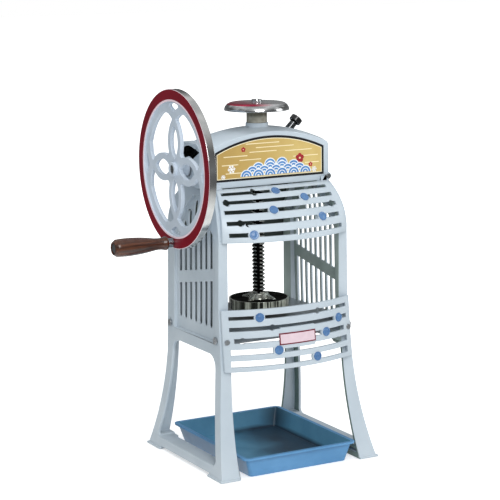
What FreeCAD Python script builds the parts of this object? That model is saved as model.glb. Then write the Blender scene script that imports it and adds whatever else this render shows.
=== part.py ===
"""Hand cranked block ice shaver.

Millimetres. +Z is up, the front with the loading window faces -Y, and the crank wheel is on the
-X side. The origin lies on the floor, on the axis of the vertical feed spindle. Everything is
drawn at rest: the ice plate all the way down, the handle near the bottom of its circle.
"""
import FreeCAD, Part
import math
import os

Vec = FreeCAD.Vector
UP = Vec(0, 0, 1)
RIGHT = Vec(1, 0, 0)
BACK = Vec(0, 1, 0)

# ---------------------------------------------------------------- clearances
seat_gap = 0.3            # between painted castings that are screwed together
running = 0.06            # radial clearance of a journal in its bush
end_float = 0.3           # axial play of a turning part
bolt_clearance = 0.3      # radial clearance of a bolt in its hole

# ---------------------------------------------------------------- side frames
pad_height = 6.0          # feet stand this far below the bottom rail
pad_length = 59.0
foot_width = 42.5
foot_half_width = 175.0
foot_half_depth = 163.0
foot_lip = 2.5            # the pads stand out this far past the legs
foot_lip_height = 4.0
knee_z = 200.0            # the legs splay below the knee
knee_half_width = 146.0
knee_front = 113.5
knee_rear = 117.0
waist_z = 320.0
waist_half_width = 143.0
waist_front = 101.3
waist_rear = 116.5
shoulder_z = 448.0        # the frame draws in above the shoulder
shoulder_half_width = 141.0
shoulder_front = 102.5
shoulder_rear = 115.0
head_z = 541.0            # top of the side frames, seat of the head
head_half_width = 130.5
head_half_depth = 52.0
leg_sweep = 9.0           # rise of the curved leg edges, seen from the side
leg_splay = 3.0           # the same, seen from the front
front_shoulder_bulge = 13.8
rear_shoulder_bulge = 17.0
side_shoulder_bulge = 3.8
post_inner = 122.0        # inner face of the posts
leg_width = 24.0
leg_web = 6.0
leg_flange = 7.0
rail_height = 17.5        # bottom rail between the feet
rail_set_back = 5.0       # its inner face, behind the legs'
rail_lip = 6.0            # flanges above and below a rail's hollow side
mid_rail_z = 228.0
mid_rail_height = 24.0
arch_corner = 25.0
rail_outer = 135.0        # bottom of the middle rail's inner hollow
panel_set_back = 6.5      # slotted panel, behind the frame's outer face
panel_thickness = 4.0
panel_front = 87.5
panel_rear = 86.0
panel_shoulder = 448.0    # above this the panel's edges lean in to its crown
panel_top = 523.0
panel_crown = 14.0        # half width of the crown
panel_rib = 5.0           # rib between the panel and the hollow shoulders
guard_gap = 1.4           # guard sheet of the left frame, behind the posts' inner face
guard_thickness = 1.3
guard_boss_radius = 3.5
guard_boss_places = ((-80.5, 262.5), (81.8, 262.5), (-80.5, 438.0), (81.8, 438.0))
slot_width = 12.0
left_slot_count = 7
left_slots = (-58.0, 21.6)        # first one, pitch
right_slot_count = 8
right_slots = (-63.5, 19.3)
slot_foot = 276.0
slot_margin = 9.0         # slot heads stay this far below the panel's leaning edges
band_z = 368.0            # slanting band across the slots
band_height = 24.0
band_slope = 0.18
top_flange = 12.0
top_flange_reach = 24.0   # how far the top flange comes in over the chamber

# ---------------------------------------------------------------- head and gear case
head_wall = 6.0
end_wall = 5.0
floor_thickness = 10.0
plate_half_width = 119.5  # arched front plate
plate_foot = 553.0
plate_crown = 635.0
plate_radius = 280.0
plate_thickness = 3.0
plate_recess = 1.0
roof_radius = 315.0       # flatter than the plate's crown
roof_margin = 8.5         # roof above the plate's crown
roof_rise = 6.5           # the roof is higher in its middle than at its front rim
roof_corner = 9.0
roof_boss_radius = 22.0
roof_boss_top = 657.0
case_reach = 17.5         # the bearing housing stands out from the head
case_half_depth = 44.0
case_top = 627.0
case_corner = 18.0
case_wall = 6.0
shaft_boss_radius = 21.5
shaft_boss_proud = 3.0
port_radius = 42.0        # inspection port above the shaft boss
port_half_angle = 40.0

# ---------------------------------------------------------------- shaft and bevel gears
shaft_z = 578.0
shaft_radius = 10.0
shaft_tip_radius = 8.5
shaft_inner_end = 29.2
gear_module = 3.0
pinion_teeth = 14
gear_teeth = 28
gear_face = 14.0
backlash = 0.5
addendum_share = 0.8
pressure_angle = 20.0
pinion_hub_radius = 16.0
pinion_hub_end = 57.0
pedestal_length = 12.0
pedestal_half_width = 22.0
bush_wall = 3.0

# ---------------------------------------------------------------- drive sleeve and spindle
screw_radius = 12.5
sleeve_radius = 19.0
sleeve_foot = 533.0
sleeve_top = 610.0
sleeve_collar_radius = 25.0
sleeve_collar_height = 4.0
keyway_width = 6.0
keyway_depth = 3.5
key_angle = 240.0
screw_foot = 300.0
screw_top = 694.0
plate_disc_radius = 59.0
plate_rim_z = 312.0
plate_skirt = 20.0
plate_web = 6.0
hub_rib_count = 4
spike_count = 6
spike_circle = 40.0
spike_length = 6.0
wheel_radius = 63.4
wheel_foot = 681.0
wheel_top = 696.0
wheel_wall = 3.0
collar_radius = 20.0
cap_nut_radius = 11.0

# ---------------------------------------------------------------- feed nut and lock
nut_flange_radius = 43.0
nut_flange_thickness = 6.0
nut_hub_radius = 16.0
nut_notches = 8
notch_width = 8.0
notch_depth = 5.0
thread_clearance = 0.35
lock_angle = 44.0         # tilt of the lock plunger from vertical
lock_x = 73.0             # where its axis leaves the roof
lock_travel = 7.0         # from the raised rest place down into a notch
plunger_radius = 3.5
knob_radius = 12.0
knob_length = 11.0
knob_height = 15.0
guide_radius_out = 8.0
guide_neck = 7.5
guide_height = 12.0

# ---------------------------------------------------------------- crank wheel
rim_radius = 152.0
rim_inner = 128.5
rim_front = 183.0
rim_width = 15.0
ring_inner = 114.5
spoke_set_back = 3.5
spoke_thickness = 8.0
hub_radius = 14.0
hub_nose = 186.0
petal_centre = 50.0
petal_half_length = 50.0
petal_half_width = 27.0
eye_centre = 51.0
eye_half_length = 32.0
eye_half_width = 15.0
fan_tip = 91.5            # the ribs cross, then spread sideways to the inner ring
fan_knee = (24.0, 104.5)
fan_end = (47.0, 106.5)
web_hole_tip = 109.5      # pointed hole between the spread ribs and the rim
web_hole_side = (22.5, 120.5)
web_hole_top = 125.5
throw = 142.0
crank_turn = 3.0          # handle stands this far past the bottom, degrees
pin_radius = 6.0
ferrule_radius = 9.0
ferrule_length = 12.0
grip_length = 112.0
grip_end_radius = 17.5
grip_neck_radius = 11.3
grip_collar_radius = 13.5

# ---------------------------------------------------------------- grilles and covers
grille_wall = 6.0
lower_half_width = 140.75
lower_foot = 201.0
lower_top = 318.0
lower_bow = 32.0
lower_slots = ((302.5, 7.0, -129.0, 129.0), (281.5, 8.0, -129.0, 129.0), (259.5, 9.0, -121.0, 121.0),
               (238.0, 11.0, -129.0, 129.0), (216.0, 12.0, -129.0, 129.0))     # height, width, two ends
lower_pads = (-72.0, 106.0, 71.0, -38.0, 46.0)      # one in each slot
lower_eyes = (53.0, -48.0, -106.0, 102.0, -94.0)
upper_half_width = 136.0
upper_foot = 446.0
upper_bow = 38.0
upper_top_bow = 4.0
upper_top_narrowing = 13.5
upper_slots = ((532.0, 5.0, -118.0, 112.0), (518.0, 6.0, -122.0, 116.0), (501.5, 7.0, -125.0, 118.0),
               (482.0, 7.5, -125.0, 119.0), (460.5, 8.0, -124.0, 121.0))
upper_pads = (-4.0, 50.0, -28.0, 74.0, -80.0)
upper_eyes = (-50.0, -114.0, 107.0, -100.0, 11.0)
pad_radius = 11.0
stud_radius = 8.3
stud_height = 1.8
eye_radius = 6.0
name_bar = (-32.0, 43.0)  # solid place for a plate in the third slot of the lower grille
ear_radius = 7.5
ear_x = 126.0
ear_z = 549.0
rear_cover_bow = 14.0
rear_cover_foot = 402.0

# ---------------------------------------------------------------- blade table
table_top = 282.0
table_plate = 10.0
table_rim = 32.0
table_wall = 7.0
table_front = 104.0
table_rear = 112.0
table_bolt_z = 259.0
table_bolt_front = 95.5
table_bolt_rear = 99.0
table_bolt_radius = 4.0
table_boss_radius = 9.0
table_corner = 20.0         # solid corners that take the bolts
table_bolt_depth = 14.0
blade_inner = 12.0
blade_outer = 104.0
blade_angle = 35.0
blade_length = 36.0
blade_thickness = 3.0
blade_edge_y = -2.0
blade_proud = 0.8
lift_room = 1.7           # free height above the holder's ends for the blade's lift
holder_depth = 34.0       # holder's foot below the table's top
holder_foot = table_top - holder_depth
holder_inner = 2.0
holder_outer = 113.0
guide_radius = 3.5
guide_y = 22.0
adjuster_x = 58.0
adjuster_radius = 4.0
adjuster_knob_radius = 14.0

# ---------------------------------------------------------------- tray
tray_half_width = 123.5
tray_front = 165.0
tray_rear = 147.0
tray_height = 39.6
tray_flare = 11.0
tray_wall = 2.0
tray_lip = 6.0
tray_lip_drop = 4.0
tray_lip_wall = 1.6


# ================================================================ drawing helpers
def yz(x):
    return lambda u, v: Vec(x, u, v)


def xz(y):
    return lambda u, v: Vec(u, y, v)


def xy(z):
    return lambda u, v: Vec(u, v, z)


def loop(plane, start, steps):
    """Closed wire; a step is a point for a straight side or (middle, end) for an arc."""
    edges = []
    here = plane(*start)
    for step in steps:
        if isinstance(step[0], tuple):
            end = plane(*step[1])
            edges.append(Part.Arc(here, plane(*step[0]), end).toShape())
        else:
            end = plane(*step)
            edges.append(Part.makeLine(here, end))
        here = end
    first = plane(*start)
    if here.distanceToPoint(first) > 1e-6:
        edges.append(Part.makeLine(here, first))
    return Part.Wire(edges)


def face(plane, start, steps):
    return Part.Face(loop(plane, start, steps))


def block(x, y, z):
    return Part.makeBox(x[1] - x[0], y[1] - y[0], z[1] - z[0], Vec(x[0], y[0], z[0]))


def rod(radius, start, direction, length):
    return Part.makeCylinder(radius, length, start, direction)


def tube(outer, inner, start, direction, length):
    return rod(outer, start, direction, length).cut(rod(inner, start, direction, length))


def joined(first, *others):
    return first.fuse(list(others)).removeSplitter()


def group(solids):
    return Part.makeCompound(solids)


def solid_of(shape):
    """The one solid of a boolean result."""
    return shape.Solids[0] if len(shape.Solids) == 1 else shape


def bulged(start, end, rise):
    """Middle point of an arc from start to end that stands off the chord, to the left, by rise."""
    du = end[0] - start[0]
    dv = end[1] - start[1]
    length = math.hypot(du, dv)
    return ((start[0] + end[0]) / 2 - dv / length * rise, (start[1] + end[1]) / 2 + du / length * rise)


def arc_step(start, end, rise):
    return (bulged(start, end, rise), end)


def mirrored_x(shape):
    return shape.mirror(Vec(0, 0, 0), RIGHT)


def edges_along(shape, direction, test):
    """Straight edges parallel to direction whose middle passes the test."""
    found = []
    for edge in shape.Edges:
        if not isinstance(edge.Curve, Part.Line):
            continue
        along = edge.Vertexes[1].Point.sub(edge.Vertexes[0].Point)
        if along.Length < 1e-6:
            continue
        if abs(abs(along.normalize().dot(direction)) - 1) < 1e-4 and test(edge.CenterOfMass):
            found.append(edge)
    return found


# ================================================================ side frames
def frame_outline(x, inset):
    """Side view of the frame, its front and rear edges moved in by inset."""
    foot_f = (-foot_half_depth + foot_lip + inset, 0)
    knee_f = (-knee_front + inset, knee_z)
    waist_f = (-waist_front + inset, waist_z)
    shoulder_f = (-shoulder_front + inset, shoulder_z)
    top_f = (-head_half_depth + inset, head_z)
    top_r = (head_half_depth - inset, head_z)
    shoulder_r = (shoulder_rear - inset, shoulder_z)
    waist_r = (waist_rear - inset, waist_z)
    knee_r = (knee_rear - inset, knee_z)
    foot_r = (foot_half_depth - foot_lip - inset, 0)
    steps = [arc_step(foot_f, knee_f, -leg_sweep), waist_f, shoulder_f]
    steps += [arc_step(shoulder_f, top_f, front_shoulder_bulge), top_r]
    steps += [arc_step(top_r, shoulder_r, rear_shoulder_bulge), waist_r, knee_r]
    steps += [arc_step(knee_r, foot_r, -leg_sweep)]
    return face(yz(x), foot_f, steps)


def frame_band(y, shift, inner):
    """Front view of the right frame: its outer edge moved in by shift, closed at inner."""
    foot = (foot_half_width - foot_lip - shift, 0)
    knee = (knee_half_width - shift, knee_z)
    waist = (waist_half_width - shift, waist_z)
    shoulder = (shoulder_half_width - shift, shoulder_z)
    top = (head_half_width - shift, head_z)
    steps = [arc_step(foot, knee, leg_splay), waist, shoulder, arc_step(shoulder, top, -side_shoulder_bulge)]
    if inner is None:
        thickness = shoulder_half_width - post_inner
        inner_top = (head_half_width - thickness, head_z)
        inner_shoulder = (post_inner, shoulder_z)
        steps += [inner_top, arc_step(inner_top, inner_shoulder, side_shoulder_bulge)]
        steps += [(post_inner, mid_rail_z), (foot_half_width - foot_width, 0)]
    else:
        steps += [(inner, head_z), (inner, 0)]
    return face(xz(y), foot, steps)


def stadium(x, y, z0, z1, width):
    """Upright slot outline with round ends."""
    r = width / 2
    start = (y - r, z0 + r)
    steps = [((y, z0), (y + r, z0 + r)), (y + r, z1 - r), ((y, z1), (y - r, z1 - r))]
    return face(yz(x), start, steps)


def panel_outline(x, grow):
    """Outline of the slotted panel: upright sides, then straight edges leaning in to the crown."""
    front = -panel_front - grow
    rear = panel_rear + grow
    crown = panel_crown + grow
    steps = [(front, panel_shoulder), (-crown, panel_top + grow), (crown, panel_top + grow), (rear, panel_shoulder)]
    steps += [(rear, mid_rail_z + mid_rail_height)]
    return face(yz(x), (front, mid_rail_z + mid_rail_height), steps)


def slot_head(y):
    """Top of a slot: a margin below the panel's edge over the slot's outer side."""
    reach = panel_front if y < 0 else panel_rear
    side = max(abs(y) + slot_width / 2, panel_crown)
    edge = lerp(panel_top, panel_shoulder, (side - panel_crown) / (reach - panel_crown))
    return edge - slot_margin


def frame_slots(count, layout, rise):
    """Slots of the side panel, broken by the slanting band."""
    near = post_inner - 10
    depth = 60
    slots = []
    first, pitch = layout
    for i in range(count):
        y = first + i * pitch
        slots.append(stadium(near, y, slot_foot, slot_head(y), slot_width).extrude(Vec(depth, 0, 0)))
    reach = 120
    low = band_z - band_height / 2
    high = band_z + band_height / 2
    lift = rise * band_slope * reach
    band = face(yz(near), (-reach, low - lift), [(reach, low + lift), (reach, high + lift), (-reach, high - lift)])
    return group(slots).cut(band.extrude(Vec(depth, 0, 0)))


def frame_arch():
    """The opening between the legs, through the frame."""
    near = post_inner - 40
    arch = frame_outline(near, leg_width).extrude(Vec(120, 0, 0))
    arch = arch.common(block((near, near + 120), (-200, 200), (pad_height + rail_height, mid_rail_z)))
    crown = edges_along(arch, RIGHT, lambda p: p.z > mid_rail_z - 1)
    arch = arch.makeFillet(arch_corner, crown)
    heel = edges_along(arch, RIGHT, lambda p: p.z < pad_height + rail_height + 1)
    return arch.makeFillet(arch_corner / 3, heel)


def side_frame(side, slot_count, slots):
    """One cast side frame; drawn on the right and mirrored for the left."""
    far = 220
    body = frame_outline(60, 0).extrude(Vec(160, 0, 0))
    body = body.common(frame_band(-far, 0, None).extrude(Vec(0, 2 * far, 0)))
    lip = block((post_inner - top_flange_reach + 6, head_half_width - 4),
                (-head_half_depth, head_half_depth), (head_z - top_flange, head_z))
    body = body.fuse(lip)
    for y in (-table_bolt_front, table_bolt_rear):
        body = body.fuse(rod(table_boss_radius, Vec(post_inner + 8, y, table_bolt_z), RIGHT, 15.7))

    # hollow back of the legs and of the bottom rail: an outer web with flanges front and rear
    hollow = frame_outline(40, leg_flange).extrude(Vec(180, 0, 0))
    hollow = hollow.common(frame_band(-far, leg_web, 60).extrude(Vec(0, 2 * far, 0)))
    low_pocket = block((40, far), (-far, far), (pad_height + rail_lip, pad_height + rail_height - rail_lip))
    leg_pocket = block((40, far), (-far, far), (pad_height + rail_height + 3, mid_rail_z - rail_lip))
    body = body.cut(hollow.common(low_pocket)).cut(hollow.common(leg_pocket))
    body = body.cut(frame_arch())
    pad_gap = foot_half_depth - pad_length
    body = body.cut(block((60, far), (-pad_gap, pad_gap), (-1, pad_height)))
    rail_inner = foot_half_width - foot_width + rail_set_back
    body = body.cut(block((60, rail_inner), (-pad_gap, pad_gap), (0, pad_height + rail_height + 0.5)))
    for y in ((-foot_half_depth, -pad_gap), (pad_gap, foot_half_depth)):
        body = body.fuse(block((foot_half_width - foot_width, foot_half_width), y, (0, foot_lip_height)))

    # middle rail: hollow from inside
    rail_in = block((60, rail_outer), (-70, 70), (mid_rail_z + rail_lip, mid_rail_z + mid_rail_height - rail_lip))
    body = body.cut(rail_in)

    # thin slotted panel, set back from both faces of the frame
    skin = frame_band(-far, panel_set_back, 60).extrude(Vec(0, 2 * far, 0))
    skin = skin.cut(frame_band(-far, panel_set_back + panel_thickness, 50).extrude(Vec(0, 2 * far, 0)))
    panel = panel_outline(40, 0).extrude(Vec(180, 0, 0)).cut(skin)
    body = body.cut(panel).cut(frame_slots(slot_count, slots, side))

    # shoulders hollow from inside, on both sides of the panel's leaning edges
    shoulder = frame_outline(40, 10).extrude(Vec(180, 0, 0))
    shoulder = shoulder.common(frame_band(-far, leg_web, 60).extrude(Vec(0, 2 * far, 0)))
    shoulder = shoulder.common(block((40, far), (-far, far), (panel_shoulder + 18, head_z - top_flange)))
    body = body.cut(shoulder.cut(panel_outline(30, panel_rib).extrude(Vec(200, 0, 0))))

    for y in (-table_bolt_front, table_bolt_rear):
        body = body.cut(rod(table_bolt_radius + bolt_clearance, Vec(100, y, table_bolt_z), RIGHT, 60))
    for y in (-head_bolt_y, head_bolt_y):
        body = body.cut(rod(head_bolt_radius + bolt_clearance, Vec(head_bolt_x, y, head_z - 30), UP, 40))
    screw_end = table_bolt_front + table_bolt_radius + 1.2
    body = body.cut(rod(grille_screw_radius, Vec(lower_screw_x, -screw_end - 15, lower_screw_z), BACK, 15))
    body = solid_of(body.removeSplitter())
    return body if side > 0 else mirrored_x(body)


def side_guard():
    """Sheet behind the left frame's slots, on four spacers that stand on the panel."""
    near = post_inner + guard_gap
    body = block((near, near + guard_thickness), (-panel_front + seat_gap, panel_rear - seat_gap),
                 (mid_rail_z + mid_rail_height + seat_gap, panel_shoulder - seat_gap))
    spacers = group([rod(guard_boss_radius, Vec(near, y, z), RIGHT, 30) for y, z in guard_boss_places])
    band = frame_band(-120, panel_set_back + panel_thickness, 60).extrude(Vec(0, 240, 0))
    return mirrored_x(solid_of(body.fuse(spacers.common(band))))


head_bolt_x = 107.5
head_bolt_y = 36.0
head_bolt_radius = 3.0
grille_screw_radius = 2.5
lower_screw_x = 134.0
lower_screw_z = 258.0


# ================================================================ head
def plate_outline(y, margin):
    """Arched outline of the front plate, grown by margin."""
    half = plate_half_width + margin
    centre_z = plate_crown - plate_radius
    radius = plate_radius + margin
    spring_z = centre_z + math.sqrt(radius ** 2 - half ** 2)
    foot = plate_foot - margin
    steps = [(half, foot), (half, spring_z), ((0, centre_z + radius), (-half, spring_z))]
    return face(xz(y), (-half, foot), steps)


def barrel(half_depth, shrink):
    """Solid of the domed roof: an arch whose crown also curves from front to rear."""
    centre_z = plate_crown + roof_margin - roof_radius
    rim = roof_radius - shrink
    crown = rim + roof_rise
    core = 150
    start = (-half_depth, centre_z + core)
    steps = [(-half_depth, centre_z + rim), ((0, centre_z + crown), (half_depth, centre_z + rim))]
    steps += [(half_depth, centre_z + core)]
    section = face(yz(0), start, steps)
    section.rotate(Vec(0, 0, centre_z), BACK, -60)
    return section.revolve(Vec(0, 0, centre_z), BACK, 120)


def case_outline(x, shrink):
    """Side view of the bearing housing on the left of the head."""
    half = case_half_depth - shrink
    top = case_top - shrink
    foot = head_z + shrink + 2
    r = case_corner - shrink / 2
    k = r * (1 - math.sqrt(0.5))
    steps = [(-half, top - r), ((-half + k, top - k), (-half + r, top)), (half - r, top)]
    steps += [((half - k, top - k), (half, top - r)), (half, foot)]
    return face(yz(x), (-half, foot), steps)


def head_casting():
    outer = barrel(head_half_depth, 0).common(
        block((-head_half_width, head_half_width), (-head_half_depth - 30, head_half_depth + 30), (head_z, roof_boss_top + 60)))
    corners = [e for e in outer.Edges if abs(abs(e.CenterOfMass.x) - head_half_width) < 1.5
               and e.BoundBox.YLength > head_half_depth and e.CenterOfMass.z > head_z + 20]
    outer = outer.makeFillet(roof_corner, corners)
    case_x = -head_half_width - case_reach
    case = case_outline(case_x, 0).extrude(Vec(case_reach + head_wall, 0, 0))
    roof_boss = rod(roof_boss_radius, Vec(0, 0, plate_crown + 3), UP, roof_boss_top - plate_crown - 3)
    body = joined(outer, case, roof_boss)

    inner_half = head_half_width - head_wall
    cavity = barrel(head_half_depth - end_wall, head_wall).common(
        block((-inner_half, inner_half), (-head_half_depth - 30, head_half_depth + 30),
              (head_z + floor_thickness, roof_boss_top + 60)))
    case_cavity = case_outline(case_x + case_wall, case_wall + 2).extrude(Vec(case_reach + head_wall, 0, 0))
    body = body.cut(cavity).cut(case_cavity)

    # bearing boss through the housing, with the port above it
    boss = rod(shaft_boss_radius, Vec(case_x - shaft_boss_proud, 0, shaft_z), RIGHT, 34)
    gusset = block((case_x + 1, case_x + 31), (-5, 5), (head_z + 4, shaft_z - 15))
    body = body.fuse([boss, gusset])
    port = rod(port_radius, Vec(case_x - 2, 0, shaft_z), RIGHT, 12)
    port = port.cut(rod(shaft_boss_radius + 1.5, Vec(case_x - 2, 0, shaft_z), RIGHT, 12))
    reach = 60
    side = reach * math.tan(math.radians(port_half_angle))
    wedge = face(yz(case_x - 2), (0, shaft_z), [(side, shaft_z + reach), (-side, shaft_z + reach)])
    body = body.cut(port.common(wedge.extrude(Vec(12, 0, 0))))

    # floor boss for the lower sleeve bush
    floor_boss = rod(sleeve_bush_outer + 5, Vec(0, 0, sleeve_foot + 2), UP, head_z + floor_thickness - sleeve_foot)
    body = body.fuse(floor_boss)

    for sign in (-1, 1):
        y = sign * head_half_depth
        rebate = plate_outline(y, seat_gap).extrude(Vec(0, -sign * (plate_thickness + plate_recess), 0))
        window = plate_outline(y, -7).extrude(Vec(0, -sign * (end_wall + 2), 0))
        body = body.cut(rebate).cut(window)
        for x in (-ear_x, ear_x):
            body = body.cut(rod(grille_screw_radius, Vec(x, y, ear_z), BACK * -sign, end_wall + 1))

    body = body.cut(rod(shaft_bush_outer, Vec(case_x - 10, 0, shaft_z), RIGHT, 60))
    body = body.cut(rod(sleeve_bush_outer, Vec(0, 0, 500), UP, 80))
    body = body.cut(rod(nut_bush_outer, Vec(0, 0, 625), UP, 60))
    for x in (-head_bolt_x, head_bolt_x):
        for y in (-head_bolt_y, head_bolt_y):
            body = body.cut(rod(head_bolt_radius + bolt_clearance, Vec(x, y, head_z - 5), UP, 30))
    body = body.cut(rod(guide_radius_out, lock_point(-20), lock_axis, 40))
    return solid_of(body.removeSplitter())


shaft_bush_outer = shaft_radius + running + bush_wall
sleeve_bush_outer = sleeve_radius + running + bush_wall
nut_bush_outer = nut_hub_radius + running + bush_wall
lock_axis = Vec(math.sin(math.radians(lock_angle)), 0, math.cos(math.radians(lock_angle)))


def lock_point(distance):
    """Point on the lock plunger's axis, measured outwards from the roof."""
    crown = roof_radius + roof_rise
    roof_z = plate_crown + roof_margin - roof_radius + math.sqrt(crown ** 2 - lock_x ** 2)
    return Vec(lock_x, 0, roof_z) + lock_axis * distance


def head_plate(sign):
    """Arched plate in the rebate of the front (sign -1) or the rear (sign 1)."""
    y = sign * (head_half_depth - plate_recess)
    return plate_outline(y, 0).extrude(Vec(0, -sign * plate_thickness, 0))


def shaft_bushes():
    case_x = -head_half_width - case_reach
    outer = tube(shaft_bush_outer, shaft_radius + running,
                 Vec(case_x - shaft_boss_proud, 0, shaft_z), RIGHT, 34)
    inner = tube(shaft_bush_outer, shaft_radius + running, Vec(-pedestal_far, 0, shaft_z), RIGHT, pedestal_length)
    return group([outer, inner])


pedestal_near = pinion_hub_end + end_float
pedestal_far = pedestal_near + pedestal_length


def bearing_pedestal():
    """Bearing block on the floor of the head, behind the pinion."""
    foot_z = head_z + floor_thickness
    half = pedestal_half_width
    crown = shaft_z + shaft_bush_outer + 5
    start = (-half, foot_z)
    steps = [(half, foot_z), (half, foot_z + 5), (shaft_bush_outer + 5, foot_z + 10), (shaft_bush_outer + 5, shaft_z)]
    steps += [((0, crown), (-shaft_bush_outer - 5, shaft_z)), (-shaft_bush_outer - 5, foot_z + 10), (-half, foot_z + 5)]
    body = face(yz(-pedestal_far), start, steps).extrude(Vec(pedestal_length, 0, 0))
    return body.cut(rod(shaft_bush_outer, Vec(-pedestal_far - 1, 0, shaft_z), RIGHT, pedestal_length + 2))


def sleeve_bush():
    top = head_z + floor_thickness + 2
    return tube(sleeve_bush_outer, sleeve_radius + running, Vec(0, 0, sleeve_foot + 2), UP, top - sleeve_foot - 2)


def nut_bush():
    foot = nut_flange_top + end_float
    flange = tube(nut_bush_outer + 5, nut_hub_radius + running, Vec(0, 0, foot), UP, 2)
    barrel_part = tube(nut_bush_outer, nut_hub_radius + running, Vec(0, 0, foot), UP, roof_boss_top - foot)
    return joined(flange, barrel_part)


nut_flange_foot = sleeve_top + 1.2
nut_flange_top = nut_flange_foot + nut_flange_thickness


def head_bolts():
    bolts = []
    floor_top = head_z + floor_thickness
    for x in (-head_bolt_x, head_bolt_x):
        for y in (-head_bolt_y, head_bolt_y):
            foot = head_z - top_flange
            shank = rod(head_bolt_radius, Vec(x, y, foot - 7), UP, floor_top - foot + 7)
            head = rod(5.5, Vec(x, y, floor_top), UP, 4)
            nut = rod(5.5, Vec(x, y, foot - 5), UP, 5)
            bolts.append(joined(shank, head, nut))
    return group(bolts)


def plunger_guide():
    straight = rod(guide_radius_out, lock_point(-12), lock_axis, 14)
    neck = Part.makeCone(guide_radius_out, guide_neck, guide_height - 2, lock_point(2), lock_axis)
    body = joined(straight, neck)
    return solid_of(body.cut(rod(plunger_radius + running, lock_point(-20), lock_axis, 40)))


# ================================================================ bevel gears
pinion_cone = math.atan2(pinion_teeth, gear_teeth)
cone_length = gear_module / 2 * math.hypot(pinion_teeth, gear_teeth)
addendum = addendum_share * gear_module
dedendum = gear_module
blank_margin = 0.015      # the blank reaches past both ends of the teeth


def tooth(pitch_point, outward, sideways, virtual_teeth):
    """One straight bevel tooth; every edge runs towards the common apex on the shaft axis."""
    apex = Vec(0, 0, shaft_z)
    slope = math.tan(math.radians(pressure_angle))
    curve = gear_module * virtual_teeth / 2 * math.sin(math.radians(pressure_angle))
    half_pitch_width = math.pi * gear_module / 4 - backlash / 2

    def flank(height):
        return half_pitch_width - height * slope - height ** 2 / (2 * curve)

    heights = (-dedendum - 0.6, 0.0, addendum)
    side_a = [pitch_point + outward * h + sideways * flank(h) for h in heights]
    side_b = [pitch_point + outward * h - sideways * flank(h) for h in reversed(heights)]
    big = side_a + side_b
    small_scale = 1 - gear_face / cone_length
    small = [apex + (p - apex) * small_scale for p in big]
    return Part.makeLoft([Part.makePolygon(big + big[:1]), Part.makePolygon(small + small[:1])], True, True)


def blank_corner(radius, height, scale):
    """Corner of a gear blank on its root cone, at a share of the cone's length."""
    return (radius * scale, height * scale)


def crown_gear():
    """Large bevel gear; its teeth look down and out towards the pinion."""
    pitch_r = gear_module * gear_teeth / 2
    pitch_h = gear_module * pinion_teeth / 2
    c = math.cos(pinion_cone)
    s = math.sin(pinion_cone)
    small = 1 - gear_face / cone_length - blank_margin
    root = (pitch_r - dedendum * s, pitch_h + dedendum * c)
    root_big = blank_corner(root[0], root[1], 1 + blank_margin)
    root_small = blank_corner(root[0], root[1], small)
    bore = sleeve_radius + 0.02
    top = sleeve_top - 2 - shaft_z
    hub = bore + 6
    start = (bore, root_small[1] - 1)
    steps = [(hub, root_small[1] - 1), root_small, root_big, (root_big[0] + 0.5, top - 3), (root_big[0] - 1, top), (bore, top)]
    blank = face(lambda u, v: Vec(u, 0, shaft_z + v), start, steps).revolve(Vec(0, 0, 0), UP, 360)
    teeth = []
    for i in range(gear_teeth):
        a = math.pi + (i + 0.5) * 2 * math.pi / gear_teeth
        radial = Vec(math.cos(a), math.sin(a), 0)
        outward = radial * s - UP * c
        sideways = Vec(-math.sin(a), math.cos(a), 0)
        pitch_point = radial * pitch_r + Vec(0, 0, shaft_z + pitch_h)
        teeth.append(tooth(pitch_point, outward, sideways, gear_teeth / s))
    return solid_of(blank.fuse(teeth).removeSplitter())


def pinion():
    """Small bevel gear on the crankshaft."""
    pitch_r = gear_module * pinion_teeth / 2
    pitch_h = gear_module * gear_teeth / 2
    c = math.cos(pinion_cone)
    s = math.sin(pinion_cone)
    small = 1 - gear_face / cone_length - blank_margin
    root = (pitch_h + dedendum * s, pitch_r - dedendum * c)
    root_big = blank_corner(root[0], root[1], 1 + blank_margin)
    root_small = blank_corner(root[0], root[1], small)
    bore = shaft_radius + 0.02
    start = (root_small[0] - 0.5, bore)
    steps = [root_small, root_big, (root_big[0] + 2.5, root_big[1] - 0.5), (pinion_hub_end, pinion_hub_radius)]
    steps += [(pinion_hub_end, bore)]
    blank = face(lambda u, v: Vec(-u, 0, shaft_z + v), start, steps).revolve(Vec(0, 0, shaft_z), RIGHT, 360)
    teeth = []
    for i in range(pinion_teeth):
        a = i * 2 * math.pi / pinion_teeth
        radial = Vec(0, math.sin(a), math.cos(a))
        outward = radial * c + RIGHT * s
        sideways = Vec(0, math.cos(a), -math.sin(a))
        pitch_point = radial * pitch_r + Vec(-pitch_h, 0, shaft_z)
        teeth.append(tooth(pitch_point, outward, sideways, pinion_teeth / c))
    body = blank.fuse(teeth).removeSplitter()
    return solid_of(body.cut(shaft_key_slot(-pinion_key_centre)))


pinion_key_centre = 51.0
wheel_key_centre = 166.0
shaft_key_length = 9.0
shaft_key_width = 5.0
shaft_key_height = 2.0


def shaft_key_slot(x):
    """Space taken by a key in the hub and in the shaft, on top of the shaft."""
    half = shaft_key_length / 2
    radius = shaft_radius if x > -150 else shaft_tip_radius
    z = shaft_z + radius
    return block((x - half, x + half), (-shaft_key_width / 2, shaft_key_width / 2),
                 (z - shaft_key_height, z + shaft_key_height))


def shaft_keys():
    return group([shaft_key_slot(-pinion_key_centre), shaft_key_slot(-wheel_key_centre)])


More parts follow.
